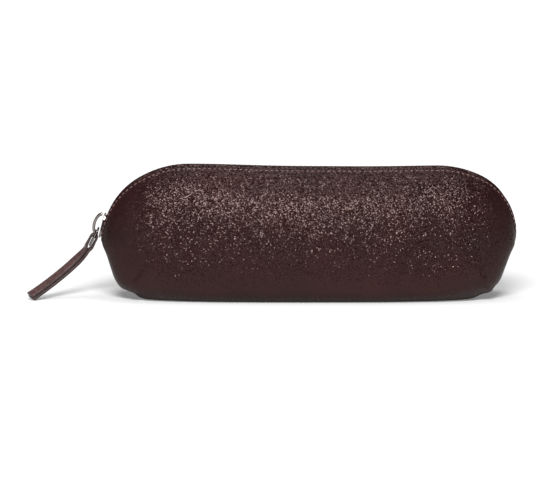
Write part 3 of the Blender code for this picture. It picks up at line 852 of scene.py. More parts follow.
def fixed(piece: bpy.types.Object, body: str, node: str) -> None:
    """Let a rigid piece ride on a body in its node's place, and report it.

    Args:
        piece: the finished piece.
        body: the body that carries it.
        node: the CAD node that it stands for.
    """
    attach(piece, body)
    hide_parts(node)
    LOG.info("%s: %d faces", piece.name, len(piece.data.polygons))


def bending(piece: bpy.types.Object, side: Side, *nodes: str) -> None:
    """Set a soft piece's place into its mesh, hide the CAD nodes that it stands for, and report it.

    Args:
        piece: the finished piece.
        side: the half that it belongs to; not used.
        nodes: the CAD nodes that it stands for.
    """
    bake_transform(piece)
    if nodes:
        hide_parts(*nodes)
    LOG.info("%s: %d faces", piece.name, len(piece.data.polygons))


# Skins and lining


@dataclass
class PanelGrid:
    """Points of one leather panel's plain outer face, in the half where y is positive.

    Its columns run from the left end round the side to the right end, and its rows
    from the seam under the base up to the zip's edge.
    """

    line: ZipLine
    columns: int = 361
    base_rows: int = 8
    fillet_rows: int = 10
    wall_rows: int = 30
    upper_rows: int = 76
    crowding: float = 0.012
    spine: float = 0.75
    melt_reach: float = 6.5 * MM
    melt_strength: float = 0.5
    melt_rounds: int = 60
    arc_samples: int = 4001
    flat_samples: int = 400

    def __post_init__(self) -> None:
        """Lay the grid out and measure it."""
        self.form = self.line.form
        self.spread_columns()
        self.points = self.melt(self.lay())
        self.normals = self.outward(self.points)
        self.from_zip = travelled(self.points[::-1])[::-1]

    def spread_columns(self) -> None:
        """Spread the columns along the rim, and share the zip's length out among them."""
        quarter = np.linspace(0, math.pi / 2, self.arc_samples)
        flat = np.linspace(0, 1, self.flat_samples)[:-1]
        none, full = np.zeros(len(flat)), np.ones(len(quarter))
        self.turn = np.concatenate([none, quarter, quarter[::-1][1:], none])
        self.share = np.concatenate([flat, full, full[1:], flat[::-1]])
        half = len(flat) + len(quarter)
        self.sign = np.concatenate([-np.ones(half), np.ones(half - 1)])
        count = len(self.turn)
        along = travelled(self.ring(np.full(count, self.form.rim), np.zeros(count)))
        even = np.linspace(0, 1, self.columns)
        wanted = (even - self.crowding * np.sin(2 * math.pi * even)) * along[-1]
        pick = np.searchsorted(along, wanted).clip(0, count - 1)
        self.turn, self.share, self.sign = self.turn[pick], self.share[pick], self.sign[pick]
        self.s = along[pick] / along[-1] * self.line.length

    def ring(self, z: np.ndarray, inset: np.ndarray) -> np.ndarray:
        """Points of the walls at each column's height and inset.

        Args:
            z: each column's height.
            inset: how far each column stands inside the wall.

        Returns:
            One point a column.
        """
        left, right, half, roundness = self.form.wall(z)
        reach, power = np.where(self.sign < 0, left, right) - inset, 2 / roundness
        x = reach * np.cos(self.turn).clip(0) ** power
        y = self.form.edge + (half - inset - self.form.edge) * np.sin(self.turn) ** power
        return np.stack([self.sign * x, y * np.where(self.share < 1, self.share, 1), z], axis=1)

    def lay(self) -> np.ndarray:
        """Lay the rows from the base seam up to the zip's edge.

        Returns:
            The grid's points, row by row.
        """
        f = self.form
        rounding = f.base_edge + (f.base_end - f.base_edge) * np.cos(self.turn) ** 2
        ring = self.ring(np.zeros(self.columns), rounding)
        reach = self.spine * f.base_left
        spine = np.stack([np.clip(ring[:, 0], -reach, reach), *np.zeros((2, self.columns))], axis=1)
        rows = [spine * (1 - t) + ring * t for t in np.linspace(0, 1, self.base_rows)[:-1]]
        for k in range(self.fillet_rows):
            a = k / self.fillet_rows * math.pi / 2
            rows.append(self.ring(rounding * (1 - math.cos(a)), rounding * (1 - math.sin(a))))
        for t in np.linspace(0, 1, self.wall_rows):
            rows.append(self.ring(rounding + (f.rim - rounding) * t, np.zeros(self.columns)))
        rim, ridge, edge = rows[-1], self.line.at(self.s), self.line.edge_at(self.s)
        power = 2 / f.section
        for q in np.linspace(0, 1, self.upper_rows)[1:]:
            a = q * math.pi / 2
            over, up = max(math.cos(a), 0) ** power, math.sin(a) ** power
            x = rim[:, 0] + (ridge[:, 0] - rim[:, 0]) * math.sin(a) ** f.fan
            rows.append(np.stack([x, edge + (rim[:, 1] - edge) * over,
                                  f.rim + (ridge[:, 1] - f.rim) * up], axis=1))
        return np.array(rows)

    def melt(self, grid: np.ndarray) -> np.ndarray:
        """Melt the crease at the rim, where the walls run into the upper leather.

        Args:
            grid: the points, which are changed.

        Returns:
            The same points.
        """
        high = grid[..., 2]
        weight = Hump(self.form.rim, self.melt_reach, self.melt_strength).at(high)[..., None]
        weight[high < self.form.base_end * 1.1] = 0
        for _ in range(self.melt_rounds):
            grid[1:-1] += ((grid[:-2] + grid[2:]) / 2 - grid[1:-1]) * weight[1:-1]
        return grid

    def outward(self, grid: np.ndarray) -> np.ndarray:
        """Find the grid's normals.

        Args:
            grid: the points.

        Returns:
            A unit normal for each point, out of the case.
        """
        normal = np.cross(np.gradient(grid, axis=0), np.gradient(grid, axis=1))
        normal /= np.maximum(np.linalg.norm(normal, axis=2, keepdims=True), 1e-12)
        away = np.sum(normal * (grid - np.array([0, 0, 0.5 * self.form.rim])), axis=2)
        normal *= np.where(away < 0, -1, 1)[..., None]
        normal[0] = (0, 0, -1)
        return normal


@dataclass(frozen=True)
class SoftForm:
    """How far the soft leather stands in or out of its plain form."""

    rim: float
    stitch_inset: float = 2.7 * MM
    stitch_pitch: float = 2.6 * MM
    wave: float = 0.12 * MM
    wave_low: tuple[float, float] = (2 * MM, 10 * MM)
    # The turned edge, by the way down from the zip: the roll at its lip and the bead
    # under it. By the way down from the stitches: the step where the doubled leather
    # ends, two grooves, and the pull of the thread.
    roll: float = -0.8 * MM
    roll_reach: float = 1.2 * MM
    bead: Hump = Hump(1.3 * MM, 0.55 * MM, 0.22 * MM)
    doubled: float = 0.45 * MM
    doubled_end: float = 0.65 * MM
    doubled_edge: float = 0.14 * MM
    grooves: tuple[Hump, ...] = (Hump(0.0, 0.45 * MM, -0.30 * MM),
                                 Hump(1.0 * MM, 0.40 * MM, -0.38 * MM))
    thread_pull: Hump = Hump(0.0, 1.9 * MM, 0.06 * MM)
    # Slack under the zip, by the way down from it, and the full shoulders along the case.
    slack: Hump = Hump(11.5 * MM, 4.5 * MM, -0.80 * MM)
    slack_middle: float = -4 * MM
    slack_reach: float = 68 * MM
    full: Hump = Hump(10 * MM, 6 * MM, 1.05 * MM)
    full_places: tuple[Hump, ...] = (Hump(-66 * MM, 17 * MM), Hump(76 * MM, 17 * MM))
    # Fullness where the front turns into the ends, along the case.
    box_turn: Hump = Hump(77 * MM, 8.5 * MM, 0.95 * MM)
    box_wall: tuple[float, float] = (6 * MM, 14 * MM)
    box_low: tuple[float, float] = (4 * MM, 14 * MM)
    box_high: tuple[float, float] = (62 * MM, 48 * MM)
    # The boxed corners: their way out at each end, the lean and height of the edge that
    # climbs from the base, and what lies beside it.
    corner_reach: tuple[tuple[int, float], ...] = ((-1, 87 * MM), (1, 90 * MM))
    corner_lean: float = 0.62
    corner_low: Hump = Hump(8 * MM, 7 * MM)
    corner_folds: tuple[Hump, ...] = (
        Hump(0.0, 3.0 * MM, 0.80 * MM), Hump(-5.5 * MM, 3.2 * MM, -0.70 * MM),
        Hump(3.4 * MM, 1.4 * MM, -0.60 * MM))
    short_tuck: Hump = Hump(-2.6 * MM, 0.8 * MM, -0.35 * MM)
    short_tuck_high: Hump = Hump(8 * MM, 3 * MM)
    corner_wall: tuple[float, float] = (9 * MM, 1.5 * MM)
    # How far the corners stand off the desk, along the case, and how high that reaches.
    lifts: tuple[Hump, ...] = (Hump(-90.5 * MM, 3.8 * MM, 2.2 * MM),
                               Hump(88 * MM, 3.8 * MM, 0.8 * MM))
    lift_high: Hump = Hump(1 * MM, 4 * MM)
    # The seam under the base and at the ends, and the pinch above it, out from the seam.
    joint: Hump = Hump(0.0, 0.9 * MM, -0.5 * MM)
    pinch: Hump = Hump(0.0, 10 * MM, -1.1 * MM)
    pinch_high: Hump = Hump(23 * MM, 5 * MM)
    pinch_from: float = 80 * MM

    def relief(self, panel: PanelGrid) -> np.ndarray:
        """Add up all that the leather does.

        Args:
            panel: the grid whose points are read.

        Returns:
            The way out at each point, negative inwards.
        """
        x, y, z = np.moveaxis(panel.points, -1, 0)
        down = panel.from_zip
        return (self.waves(x, z) + self.zip_edge(panel.s, down) + self.shoulders(x, down)
                + self.box_ends(x, y, z) + self.corners(x, y, z) - self.lifted(x, z)
                + self.seams(x, y, z))

    def waves(self, x: np.ndarray, z: np.ndarray) -> np.ndarray:
        """Raise the slow waves of leather that stands by itself.

        Args:
            x: each point's place along the case.
            z: each point's height.

        Returns:
            The way out at each point.
        """
        # Each divisor is a wave's length over 2 pi: waves of about 50 to 180 mm.
        wide = (np.sin(x / (17 * MM) + 1.3) * np.sin(z / (11 * MM) + 0.4)
                + 0.6 * np.sin(x / (9.5 * MM) + z / (14 * MM) + 2.2)
                + 0.5 * np.sin(x / (29 * MM) - z / (8 * MM)))
        return self.wave * wide * ramp(z, *self.wave_low)

    def zip_edge(self, s: np.ndarray, down: np.ndarray) -> np.ndarray:
        """Turn the edge beside the zip: rolled over, doubled, and drawn in by its stitches.

        Args:
            s: each column's length along the zip.
            down: each point's way down from the zip's edge.

        Returns:
            The way out at each point.
        """
        past = down - self.stitch_inset
        out = self.roll * ramp(down, self.roll_reach, 0) ** 2 + self.bead.at(down)
        out += self.doubled * soft_step(past, self.doubled_end, -self.doubled_edge)
        out += sum(groove.at(past) for groove in self.grooves)
        pull = np.sin(2 * math.pi * s / self.stitch_pitch)[None, :]
        return out + pull * self.thread_pull.at(past)

    def shoulders(self, x: np.ndarray, down: np.ndarray) -> np.ndarray:
        """Hang slack under the zip between the two full shoulders.

        Args:
            x: each point's place along the case.
            down: each point's way down from the zip's edge.

        Returns:
            The way out at each point.
        """
        long = ramp(np.abs(x - self.slack_middle), self.slack_reach, 0) ** 0.5
        full = sum(place.at(x) for place in self.full_places) * self.full.at(down)
        return long * self.slack.at(down) + full

    def box_ends(self, x: np.ndarray, y: np.ndarray, z: np.ndarray) -> np.ndarray:
        """Fill out the places where the flat front and back turn into the ends.

        Args:
            x: each point's place along the case.
            y: each point's way from the middle.
            z: each point's height.

        Returns:
            The way out at each point.
        """
        high = ramp(z, *self.box_low) * ramp(z, *self.box_high)
        return self.box_turn.at(np.abs(x)) * ramp(y, *self.box_wall) * high

    def corners(self, x: np.ndarray, y: np.ndarray, z: np.ndarray) -> np.ndarray:
        """Box the corners: an edge that climbs from the base, and the tucks beside it.

        Args:
            x: each point's place along the case.
            y: each point's way from the middle.
            z: each point's height.

        Returns:
            The way out at each point.
        """
        out = np.zeros_like(x)
        wall = soft_step(y, *self.corner_wall)
        for sign, reach in self.corner_reach:
            lean = sign * x - reach + self.corner_lean * (z - self.corner_low.place)
            folds = sum(fold.at(lean) for fold in self.corner_folds) * self.corner_low.at(z)
            folds += self.short_tuck.at(lean) * self.short_tuck_high.at(z)
            out += folds * wall * (sign * x > 0)
        return out

    def lifted(self, x: np.ndarray, z: np.ndarray) -> np.ndarray:
        """How far the boxed corners stand off the desk, the left one more."""
        return sum(lift.at(x) for lift in self.lifts) * self.lift_high.at(z)

    def seams(self, x: np.ndarray, y: np.ndarray, z: np.ndarray) -> np.ndarray:
        """Sink the joint of both panels, under the base and at the ends, and pinch it there.

        Args:
            x: each point's place along the case.
            y: each point's way from the middle.
            z: each point's height.

        Returns:
            The way out at each point.
        """
        pinch = self.pinch.at(y) * self.pinch_high.at(z) * (np.abs(x) > self.pinch_from)
        return self.joint.at(y) * (z < self.rim + 2 * MM) + pinch


@dataclass
class Skins:
    """The two leather panels, sewn under the base and at the ends, and their lining."""

    line: ZipLine
    wardrobe: Wardrobe
    lining: float = 0.4 * MM
    lining_depth: float = 1.75 * MM
    lining_depth_above: float = 2.45 * MM
    desk_room: float = 0.02 * MM
    seam_room: float = 0.05 * MM

    def __post_init__(self) -> None:
        """Lay out the grids that the pieces share."""
        self.form = self.line.form
        self.soft = SoftForm(self.form.rim)
        self.panel = PanelGrid(self.line)
        self.inside = PanelGrid(self.line, columns=121, base_rows=5, fillet_rows=5, wall_rows=10,
                                upper_rows=26)
        relief = self.soft.relief(self.panel)
        self.skin = self.panel.points + self.panel.normals * relief[..., None]
        self.skin[..., 2] = np.maximum(self.skin[..., 2], self.desk_room)
        self.skin[..., 1] = np.maximum(self.skin[..., 1], 0.0)
        self.skin[0, :, 1] = 0.0

    def build_skin(self, side: Side) -> None:
        """Make one leather panel, closed, with its turned edge beside the zip.

        Args:
            side: the half that it belongs to.
        """
        inner = self.skin - self.panel.normals * self.form.leather
        inner[..., 1] = np.maximum(inner[..., 1], 0.0)
        skin = closed_pair(self.skin, inner, side, f"{side.label}_leather_panel")
        self.wardrobe.dress(skin, "leather", GrainedLeather())
        bending(skin, side, f"{side.label}_leather_lower", f"{side.label}_leather_fold",
                f"{side.label}_leather_upper")

    def build_lining(self, side: Side) -> None:
        """Make one half of the lining, a thin shell behind the leather.

        Args:
            side: the half that it belongs to.
        """
        grid, normal = self.inside.points[:-2], self.inside.normals[:-2]
        above = grid[..., 2] > self.form.rim
        depth = np.where(above, self.lining_depth_above, self.lining_depth)
        depth += self.soft.lifted(grid[..., 0], grid[..., 2])
        outer = grid - normal * depth[..., None]
        inner = outer - normal * self.lining
        for face in (outer, inner):
            face[..., 1] = np.maximum(face[..., 1], self.seam_room)
        lining = closed_pair(outer, inner, side, f"{side.label}_lining")
        self.wardrobe.dress(lining, "lining", LINING_CLOTH)
        bending(lining, side, f"{side.label}_lining_upper", "lining_lower")

    def build(self) -> None:
        """Make both panels and both linings."""
        for side in Side:
            self.build_skin(side)
            self.build_lining(side)


# Patterns that follow a path


@dataclass
class PathPattern:
    """Small copies set along a path, each turned to the path and to its surface.

    The shape adds one copy's nodes, from the tree and the sockets of its inputs, and
    returns its mesh socket. The sizes are the copy's own, and become inputs by name.
    """

    name: str
    finish: bpy.types.Material
    pitch: float
    shape: Callable[[bpy.types.NodeTree, Any], Any]
    sizes: dict[str, float]

    def tree(self) -> bpy.types.NodeTree:
        """Build the node tree.

        Returns:
            The tree, ending in plain geometry with its finish.
        """
        tree, given = new_group(self.name, ("Pitch", *self.sizes))
        normal = add(tree, "GeometryNodeInputNamedAttribute", {"Name": "out"},
                     data_type="FLOAT_VECTOR")
        curve = add(tree, "GeometryNodeMeshToCurve", {"Mesh": given["Geometry"]})
        even = add(tree, "GeometryNodeResampleCurve", {"Curve": curve.outputs["Curve"],
                   "Length": given["Pitch"]}, mode="LENGTH")
        along = add(tree, "GeometryNodeInputTangent")
        first = add(tree, "FunctionNodeAlignRotationToVector", {"Vector": along.outputs[0]},
                    axis="X")
        turned = add(tree, "FunctionNodeAlignRotationToVector",
                     {"Rotation": first.outputs["Rotation"], "Vector": normal.outputs[0]},
                     axis="Z", pivot_axis="X")
        copies = add(tree, "GeometryNodeInstanceOnPoints", {"Points": even.outputs["Curve"],
                     "Instance": self.shape(tree, given),
                     "Rotation": turned.outputs["Rotation"]})
        end_group(tree, copies.outputs["Instances"], given["Finish"])
        return tree

    def lay(self, path: np.ndarray, normals: np.ndarray, name: str) -> bpy.types.Object:
        """Lay the copies along a path.

        Args:
            path: the path's points.
            normals: the way out of the surface at each point.
            name: the new piece's name.

        Returns:
            One plain mesh of all the copies.
        """
        made = mesh_object(name, path, [], ((i, i + 1) for i in range(len(path) - 1)))
        attribute = made.data.attributes.new("out", "FLOAT_VECTOR", "POINT")
        attribute.data.foreach_set("vector", normals.astype(np.float32).ravel())
        return shaped(made, self.tree(),
                      {"Pitch": self.pitch, "Finish": self.finish, **self.sizes})


def stitch_shape(tree: bpy.types.NodeTree, given: Any) -> Any:
    """Form one stitch: a short fat bead of thread, sunk at both ends.

    Args:
        tree: the pattern's tree.
        given: the sockets of its inputs.

    Returns:
        The stitch's mesh socket.
    """
    ball = add(tree, "GeometryNodeMeshUVSphere", {"Segments": 8, "Rings": 6, "Radius": 1.0})
    half = add(tree, "ShaderNodeMath", {0: given["Stitch length"], 1: 0.5}, operation="MULTIPLY")
    size = add(tree, "ShaderNodeCombineXYZ", {0: half.outputs[0], 1: given["Thread radius"],
               2: given["Thread radius"]})
    return add(tree, "GeometryNodeTransform", {"Geometry": ball.outputs["Mesh"],
               "Scale": size.outputs[0]}).outputs["Geometry"]


def wire_frame(tree: bpy.types.NodeTree, given: Any, corner_steps: int, wire_sides: int) -> Any:
    """Sweep a round wire along a rectangle with rounded corners.

    Args:
        tree: the tree.
        given: the sockets of its inputs: Width, Length, Corner and Wire radius.
        corner_steps: points on each corner.
        wire_sides: points round the wire.

    Returns:
        The wire's mesh socket.
    """
    way = add(tree, "GeometryNodeCurvePrimitiveQuadrilateral",
              {"Width": given["Width"], "Height": given["Length"]})
    bent = add(tree, "GeometryNodeFilletCurve", {"Curve": way.outputs["Curve"],
               "Radius": given["Corner"], "Count": corner_steps}, mode="POLY")
    wire = add(tree, "GeometryNodeCurvePrimitiveCircle", {"Resolution": wire_sides,
               "Radius": given["Wire radius"]})
    return add(tree, "GeometryNodeCurveToMesh", {"Curve": bent.outputs["Curve"],
               "Profile Curve": wire.outputs["Curve"]}).outputs["Mesh"]


def coil_shape(tree: bpy.types.NodeTree, given: Any) -> Any:
    """Form one loop of the coil: a bar from the sewn edge to its rounded coupling head.

    Args:
        tree: the pattern's tree.
        given: the sockets of its inputs.

    Returns:
        The loop's mesh socket.
    """
    double = add(tree, "ShaderNodeMath", {0: given["Wire radius"], 1: 2.0}, operation="MULTIPLY")
    tall = add(tree, "ShaderNodeMath", {0: given["Loop depth"], 1: double.outputs[0]},
               operation="DIVIDE")
    size = add(tree, "ShaderNodeCombineXYZ", {0: 1.0, 1: 1.0, 2: tall.outputs[0]})
    return add(tree, "GeometryNodeTransform", {"Geometry": wire_frame(tree, given, 3, 6),
               "Scale": size.outputs[0]}).outputs["Geometry"]


# Zip


@dataclass
class Zip:
    """Both tapes, both coils and the two rows of stitching."""

    line: ZipLine
    wardrobe: Wardrobe
    skins: Skins
    coil_pitch: float = 1.6 * MM
    loop_reach: float = 2.5 * MM
    loop_width: float = 0.85 * MM
    loop_depth: float = 1.44 * MM
    loop_place: float = 0.86 * MM
    loop_corner: float = 0.3 * MM
    loop_overlap: float = 0.45 * MM
    wire: float = 0.30 * MM
    coil_start: float = 4.8 * MM
    coil_end: float = 4.2 * MM
    coil_step: float = 0.4 * MM
    spread_width: float = 1.35 * MM
    spread_low: float = -0.22
    spread_high: float = 0.42
    tape: float = 0.45 * MM
    tape_depth: float = 1.6 * MM
    tape_margin: float = 1.2 * MM
    tape_inner: float = 1.5 * MM
    tape_end_inner: float = 0.1 * MM
    tape_drawn: tuple[float, float] = (3.6 * MM, 5.4 * MM)
    tape_end: float = 0.05 * MM
    # The tape's rows after its inner edge: way from the middle and drop, in millimetres.
    tape_rows: tuple[tuple[float, float], ...] = (
        (2.6, -0.05), (4.0, 0.05), (5.2, 0.3), (6.0, 0.9), (6.6, 2.2), (6.9, 4.0))
    stitch_length: float = 1.9 * MM
    stitch_stand: float = 0.14 * MM
    stitch_margin: float = 6 * MM
    thread: float = 0.27 * MM

    def spread(self, s: np.ndarray) -> np.ndarray:
        """How far a coil stands aside of the closed line at s, inside and before the slider."""
        place, half = self.line.form.slider_place, self.line.form.slider_half
        open_share = ramp(s, place + self.spread_high * half, place + self.spread_low * half)
        return self.spread_width * ease(open_share)

    def build_tape(self, side: Side) -> None:
        """Make one woven tape, flat beside the coil and turned down under the leather.

        Below the bottom stop, both tapes are drawn together.

        Args:
            side: the half that it belongs to.
        """
        line = self.line
        s = np.linspace(self.tape_end, line.length - self.tape_end, 300)
        drawn = ramp(line.length - s, *self.tape_drawn)
        rows = [(self.tape_end_inner + (self.tape_inner - self.tape_end_inner) * drawn, 0.0)]
        rows += [(np.minimum(y * MM, line.edge_at(s) + self.tape_margin), drop * MM)
                 for y, drop in self.tape_rows]
        upper, lower = (
            np.array([line.band(s, y, self.tape_depth + drop + under) for y, drop in rows])
            for under in (0.0, self.tape))
        tape = closed_pair(upper, lower, side, f"{side.label}_tape")
        self.wardrobe.dress(tape, "zip_tape", ZIP_TAPE)
        bending(tape, side, f"{side.label}_zip_tape")

    def build_coil(self, side: Side) -> None:
        """Make one row of the coil, half a pitch on from the other row.

        Args:
            side: the half that it belongs to.
        """
        shift = self.coil_pitch / 2 if side is Side.BACK else 0.0
        s = np.arange(self.coil_start + shift, self.line.length - self.coil_end, self.coil_step)
        middle = self.loop_reach / 2 - self.loop_overlap
        path = self.line.band(s, middle + self.spread(s), self.loop_place)
        path[:, 1] *= side.value
        pattern = PathPattern(
            f"{side.label}_coil_loops", self.wardrobe.of(ZIP_COIL), self.coil_pitch, coil_shape,
            {"Width": self.loop_width, "Length": self.loop_reach, "Loop depth": self.loop_depth,
             "Wire radius": self.wire, "Corner": self.loop_corner})
        coil = pattern.lay(path, np.insert(self.line.normal(s), 1, 0.0, axis=1),
                           f"{side.label}_coil")
        bending(coil, side, f"{side.label}_zip_coil")

    def build_stitches(self, side: Side) -> None:
        """Sew the leather's turned edge down, one row on each side of the zip.

        Args:
            side: the half that the row belongs to.
        """
        panel, soft = self.skins.panel, self.skins.soft
        sewn = np.minimum(panel.s, self.line.length - panel.s) > self.stitch_margin
        path, out = (
            np.array([read_off(soft.stitch_inset, panel.from_zip[::-1, i], grid[::-1, i])
                      for i in np.flatnonzero(sewn)])
            for grid in (self.skins.skin, panel.normals))
        path += out * self.stitch_stand
        path[:, 1] *= side.value
        out[:, 1] *= side.value
        pattern = PathPattern(
            f"{side.label}_edge_stitches", self.wardrobe.of(THREAD), soft.stitch_pitch,
            stitch_shape, {"Stitch length": self.stitch_length, "Thread radius": self.thread})
        row = pattern.lay(path, out, f"{side.label}_edge_stitching")
        bending(row, side)

    def build(self) -> None:
        """Make the zip's pieces on both sides."""
        for side in Side:
            self.build_tape(side)
            self.build_coil(side)
            self.build_stitches(side)


# Metal parts and the pull


def strip(name: str, line: np.ndarray, across: np.ndarray, out: np.ndarray,
          half_size: tuple[float, float], corner: float) -> bpy.types.Object:
    """Sweep a strip with rounded edges along a line.

    Args:
        name: the strip's name.
        line: its middle line.
        across: the unit way of its width at each point.
        out: the unit way of its thickness at each point.
        half_size: half its width and half its thickness.
        corner: the rounding of its four long edges.

    Returns:
        The closed strip; its edge faces have material number 1.
    """
    corner_steps, edge_from = 5, 0.6
    half_width, half_thickness = half_size
    turns = np.linspace(0, math.pi / 2, corner_steps)
    section, edge = [], []
    for quarter, (sx, sy) in enumerate(((1, 1), (1, -1), (-1, -1), (-1, 1))):
        for a in turns if quarter % 2 == 0 else turns[::-1]:
            section.append((sx * (half_width - corner + corner * math.sin(a)),
                            sy * (half_thickness - corner + corner * math.cos(a))))
            edge.append(math.sin(a) > edge_from)
    count, last = len(section), (len(line) - 1) * len(section)
    sec = np.array(section)
    points = (line[:, None, :] + across[:, None, :] * sec[None, :, :1]
              + out[:, None, :] * sec[None, :, 1:])
    faces, slots = [], []
    for row in range(0, last, count):
        for i in range(count):
            k = (i + 1) % count
            faces.append((row + i, row + k, row + count + k, row + count + i))
            slots.append(1 if edge[i] and edge[k] else 0)
    faces += [tuple(range(count))[::-1], tuple(range(last, last + count))]
    made = mesh_object(name, points.reshape(-1, 3), faces)
    made.data.polygons.foreach_set("material_index", [*slots, 1, 1])
    return closed_up(made, METAL_MERGE)


@dataclass
class Hardware:
    """The slider's cast metal, its crown, the wire link and the zip's stops."""

    form: CaseForm
    wardrobe: Wardrobe
    frame: dict[str, Any]
    cast_grain: float = 0.13 * MM
    tumbling: int = 5
    base: float = 1.7 * MM
    low_share: float = -0.66
    high_share: float = 0.84
    rise: float = 3.0 * MM
    crown_strip: float = 1.1 * MM
    crown_proud: float = 0.35 * MM
    crown_width: float = 3.4 * MM
    crown_corner: float = 0.45 * MM
    crown_foot: float = 0.35
    crown_points: int = 90
    crown_softening: int = 60
    # The crown's side view, as shares of its length along the slider and of its rise.
    crown_shares: tuple[tuple[float, float], ...] = (
        (0.00, 0.05), (-0.04, 0.36), (0.03, 0.72), (0.20, 0.95), (0.44, 1.00),
        (0.70, 0.88), (0.90, 0.60), (0.99, 0.30), (1.00, 0.05))
    wire: float = 0.6 * MM
    bar_share: float = 0.17
    bar_room: float = 0.3 * MM
    link_length: float = 8.6 * MM
    link_width: float = 9.4 * MM
    link_corner: float = 1.2 * MM
    link_lean: float = math.radians(14)
    corner_steps: int = 10
    wire_sides: int = 20
    stop_edge: float = 0.22 * MM

    def over_slider(self, share: float, up: float) -> np.ndarray:
        """Find a point over the slider's upper plate, in its middle plane.

        Args:
            share: how far it is from the crown's low foot to its high one.
            up: its height over the plate.

        Returns:
            The point.
        """
        angle = self.form.slider_place / self.form.left_end
        along = self.low_share + (self.high_share - self.low_share) * share
        centre = np.array([-self.form.left + self.form.left_end, 0, self.form.rim])
        out = np.array([-math.cos(angle), 0, math.sin(angle)])
        way = np.array([math.sin(angle), 0, math.cos(angle)])
        return (centre + out * (self.form.left_end + self.base + up)
                + way * along * self.form.slider_half)

    def bar(self) -> np.ndarray:
        """Middle of the link's upper bar, in the foot of the crown."""
        return self.over_slider(self.bar_share, self.wire + self.bar_room)

    def hang(self) -> np.ndarray:
        """The way from the link's upper bar to its lower one."""
        down = self.form.slider_place / self.form.left_end + self.link_lean
        return np.array([-math.sin(down), 0, -math.cos(down)])

    def build_body(self) -> None:
        """Cast the slider's body: the solid with its edges rounded by tumbling."""
        cast = node_copy(self.frame, "slider_body", "slider_casting")
        fine = cast.modifiers.new("fine", "REMESH")
        fine.mode, fine.voxel_size, fine.use_smooth_shade = "VOXEL", self.cast_grain, True
        tumble = cast.modifiers.new("tumble", "SMOOTH")
        tumble.factor, tumble.iterations = 0.5, self.tumbling
        made_plain(cast)
        self.wardrobe.dress(cast, "nickel", NICKEL)
        fixed(cast, "slider", "slider_body")

    def build_crown(self) -> None:
        """Bend the crown, the arch that the link hangs from."""
        shares = np.array(self.crown_shares)
        along = travelled(shares)
        soft = read_off(np.linspace(0, along[-1], self.crown_points), along, shares)
        for _ in range(self.crown_softening):
            soft[1:-1] += ((soft[:-2] + soft[2:]) / 2 - soft[1:-1]) * 0.5
        foot = self.crown_strip * self.crown_foot
        line = np.array([self.over_slider(a, foot + self.rise * b) for a, b in soft])
        across = np.tile((0.0, 1.0, 0.0), (len(line), 1))
        out = np.cross(across, unit(np.gradient(line, axis=0)))
        away = out * np.sign(np.sum(out * (line - line.mean(axis=0)), axis=1, keepdims=True))
        crown = strip("slider_crown_arch", line + away * self.crown_proud / 2, across, out,
                      (self.crown_width / 2, (self.crown_strip + self.crown_proud) / 2),
                      self.crown_corner)
        self.wardrobe.dress(crown, "nickel", NICKEL)
        fixed(crown, "slider", "slider_crown")

    def build_link(self) -> None:
        """Bend the link, a closed frame of round wire."""
        tree, given = new_group("wire_link", ("Width", "Length", "Corner", "Wire radius"))
        end_group(tree, wire_frame(tree, given, self.corner_steps, self.wire_sides), given["Finish"])
        link = shaped(mesh_object("pull_link_wire", np.zeros((1, 3)), []), tree, {
            "Width": self.link_width, "Length": self.link_length, "Corner": self.link_corner,
            "Wire radius": self.wire, "Finish": self.wardrobe.of(NICKEL)})
        along = Vector(self.hang())
        across = Vector((0, 1, 0))
        middle = Vector(self.bar()) + along * self.link_length / 2
        turn = Matrix((across, along, across.cross(along))).transposed().to_4x4()
        link.data.transform(Matrix.Translation(middle) @ turn)
        closed_up(link, METAL_MERGE)
        fixed(link, "link", "pull_link")

    def build_stop(self, name: str, body: str) -> None:
        """Press one of the zip's stops: its solid with the edges rounded.

        Args:
            name: the stop's CAD node.
            body: the body that it is clamped to.
        """
        stop = closed_up(node_copy(self.frame, name, f"{name}_clip"), 1e-7)
        press = stop.modifiers.new("press", "BEVEL")
        press.width, press.segments, press.angle_limit = self.stop_edge, 3, math.radians(30)
        made_plain(stop)
        self.wardrobe.dress(stop, "nickel", NICKEL)
        fixed(stop, body, name)

    def build(self) -> None:
        """Make the slider, the crown, the link and the stops."""
        self.build_body()
        self.build_crown()
        self.build_link()
        for side in Side:
            self.build_stop(f"{side.label}_top_stop", side.body)
        self.build_stop("bottom_stop", Side.BACK.body)


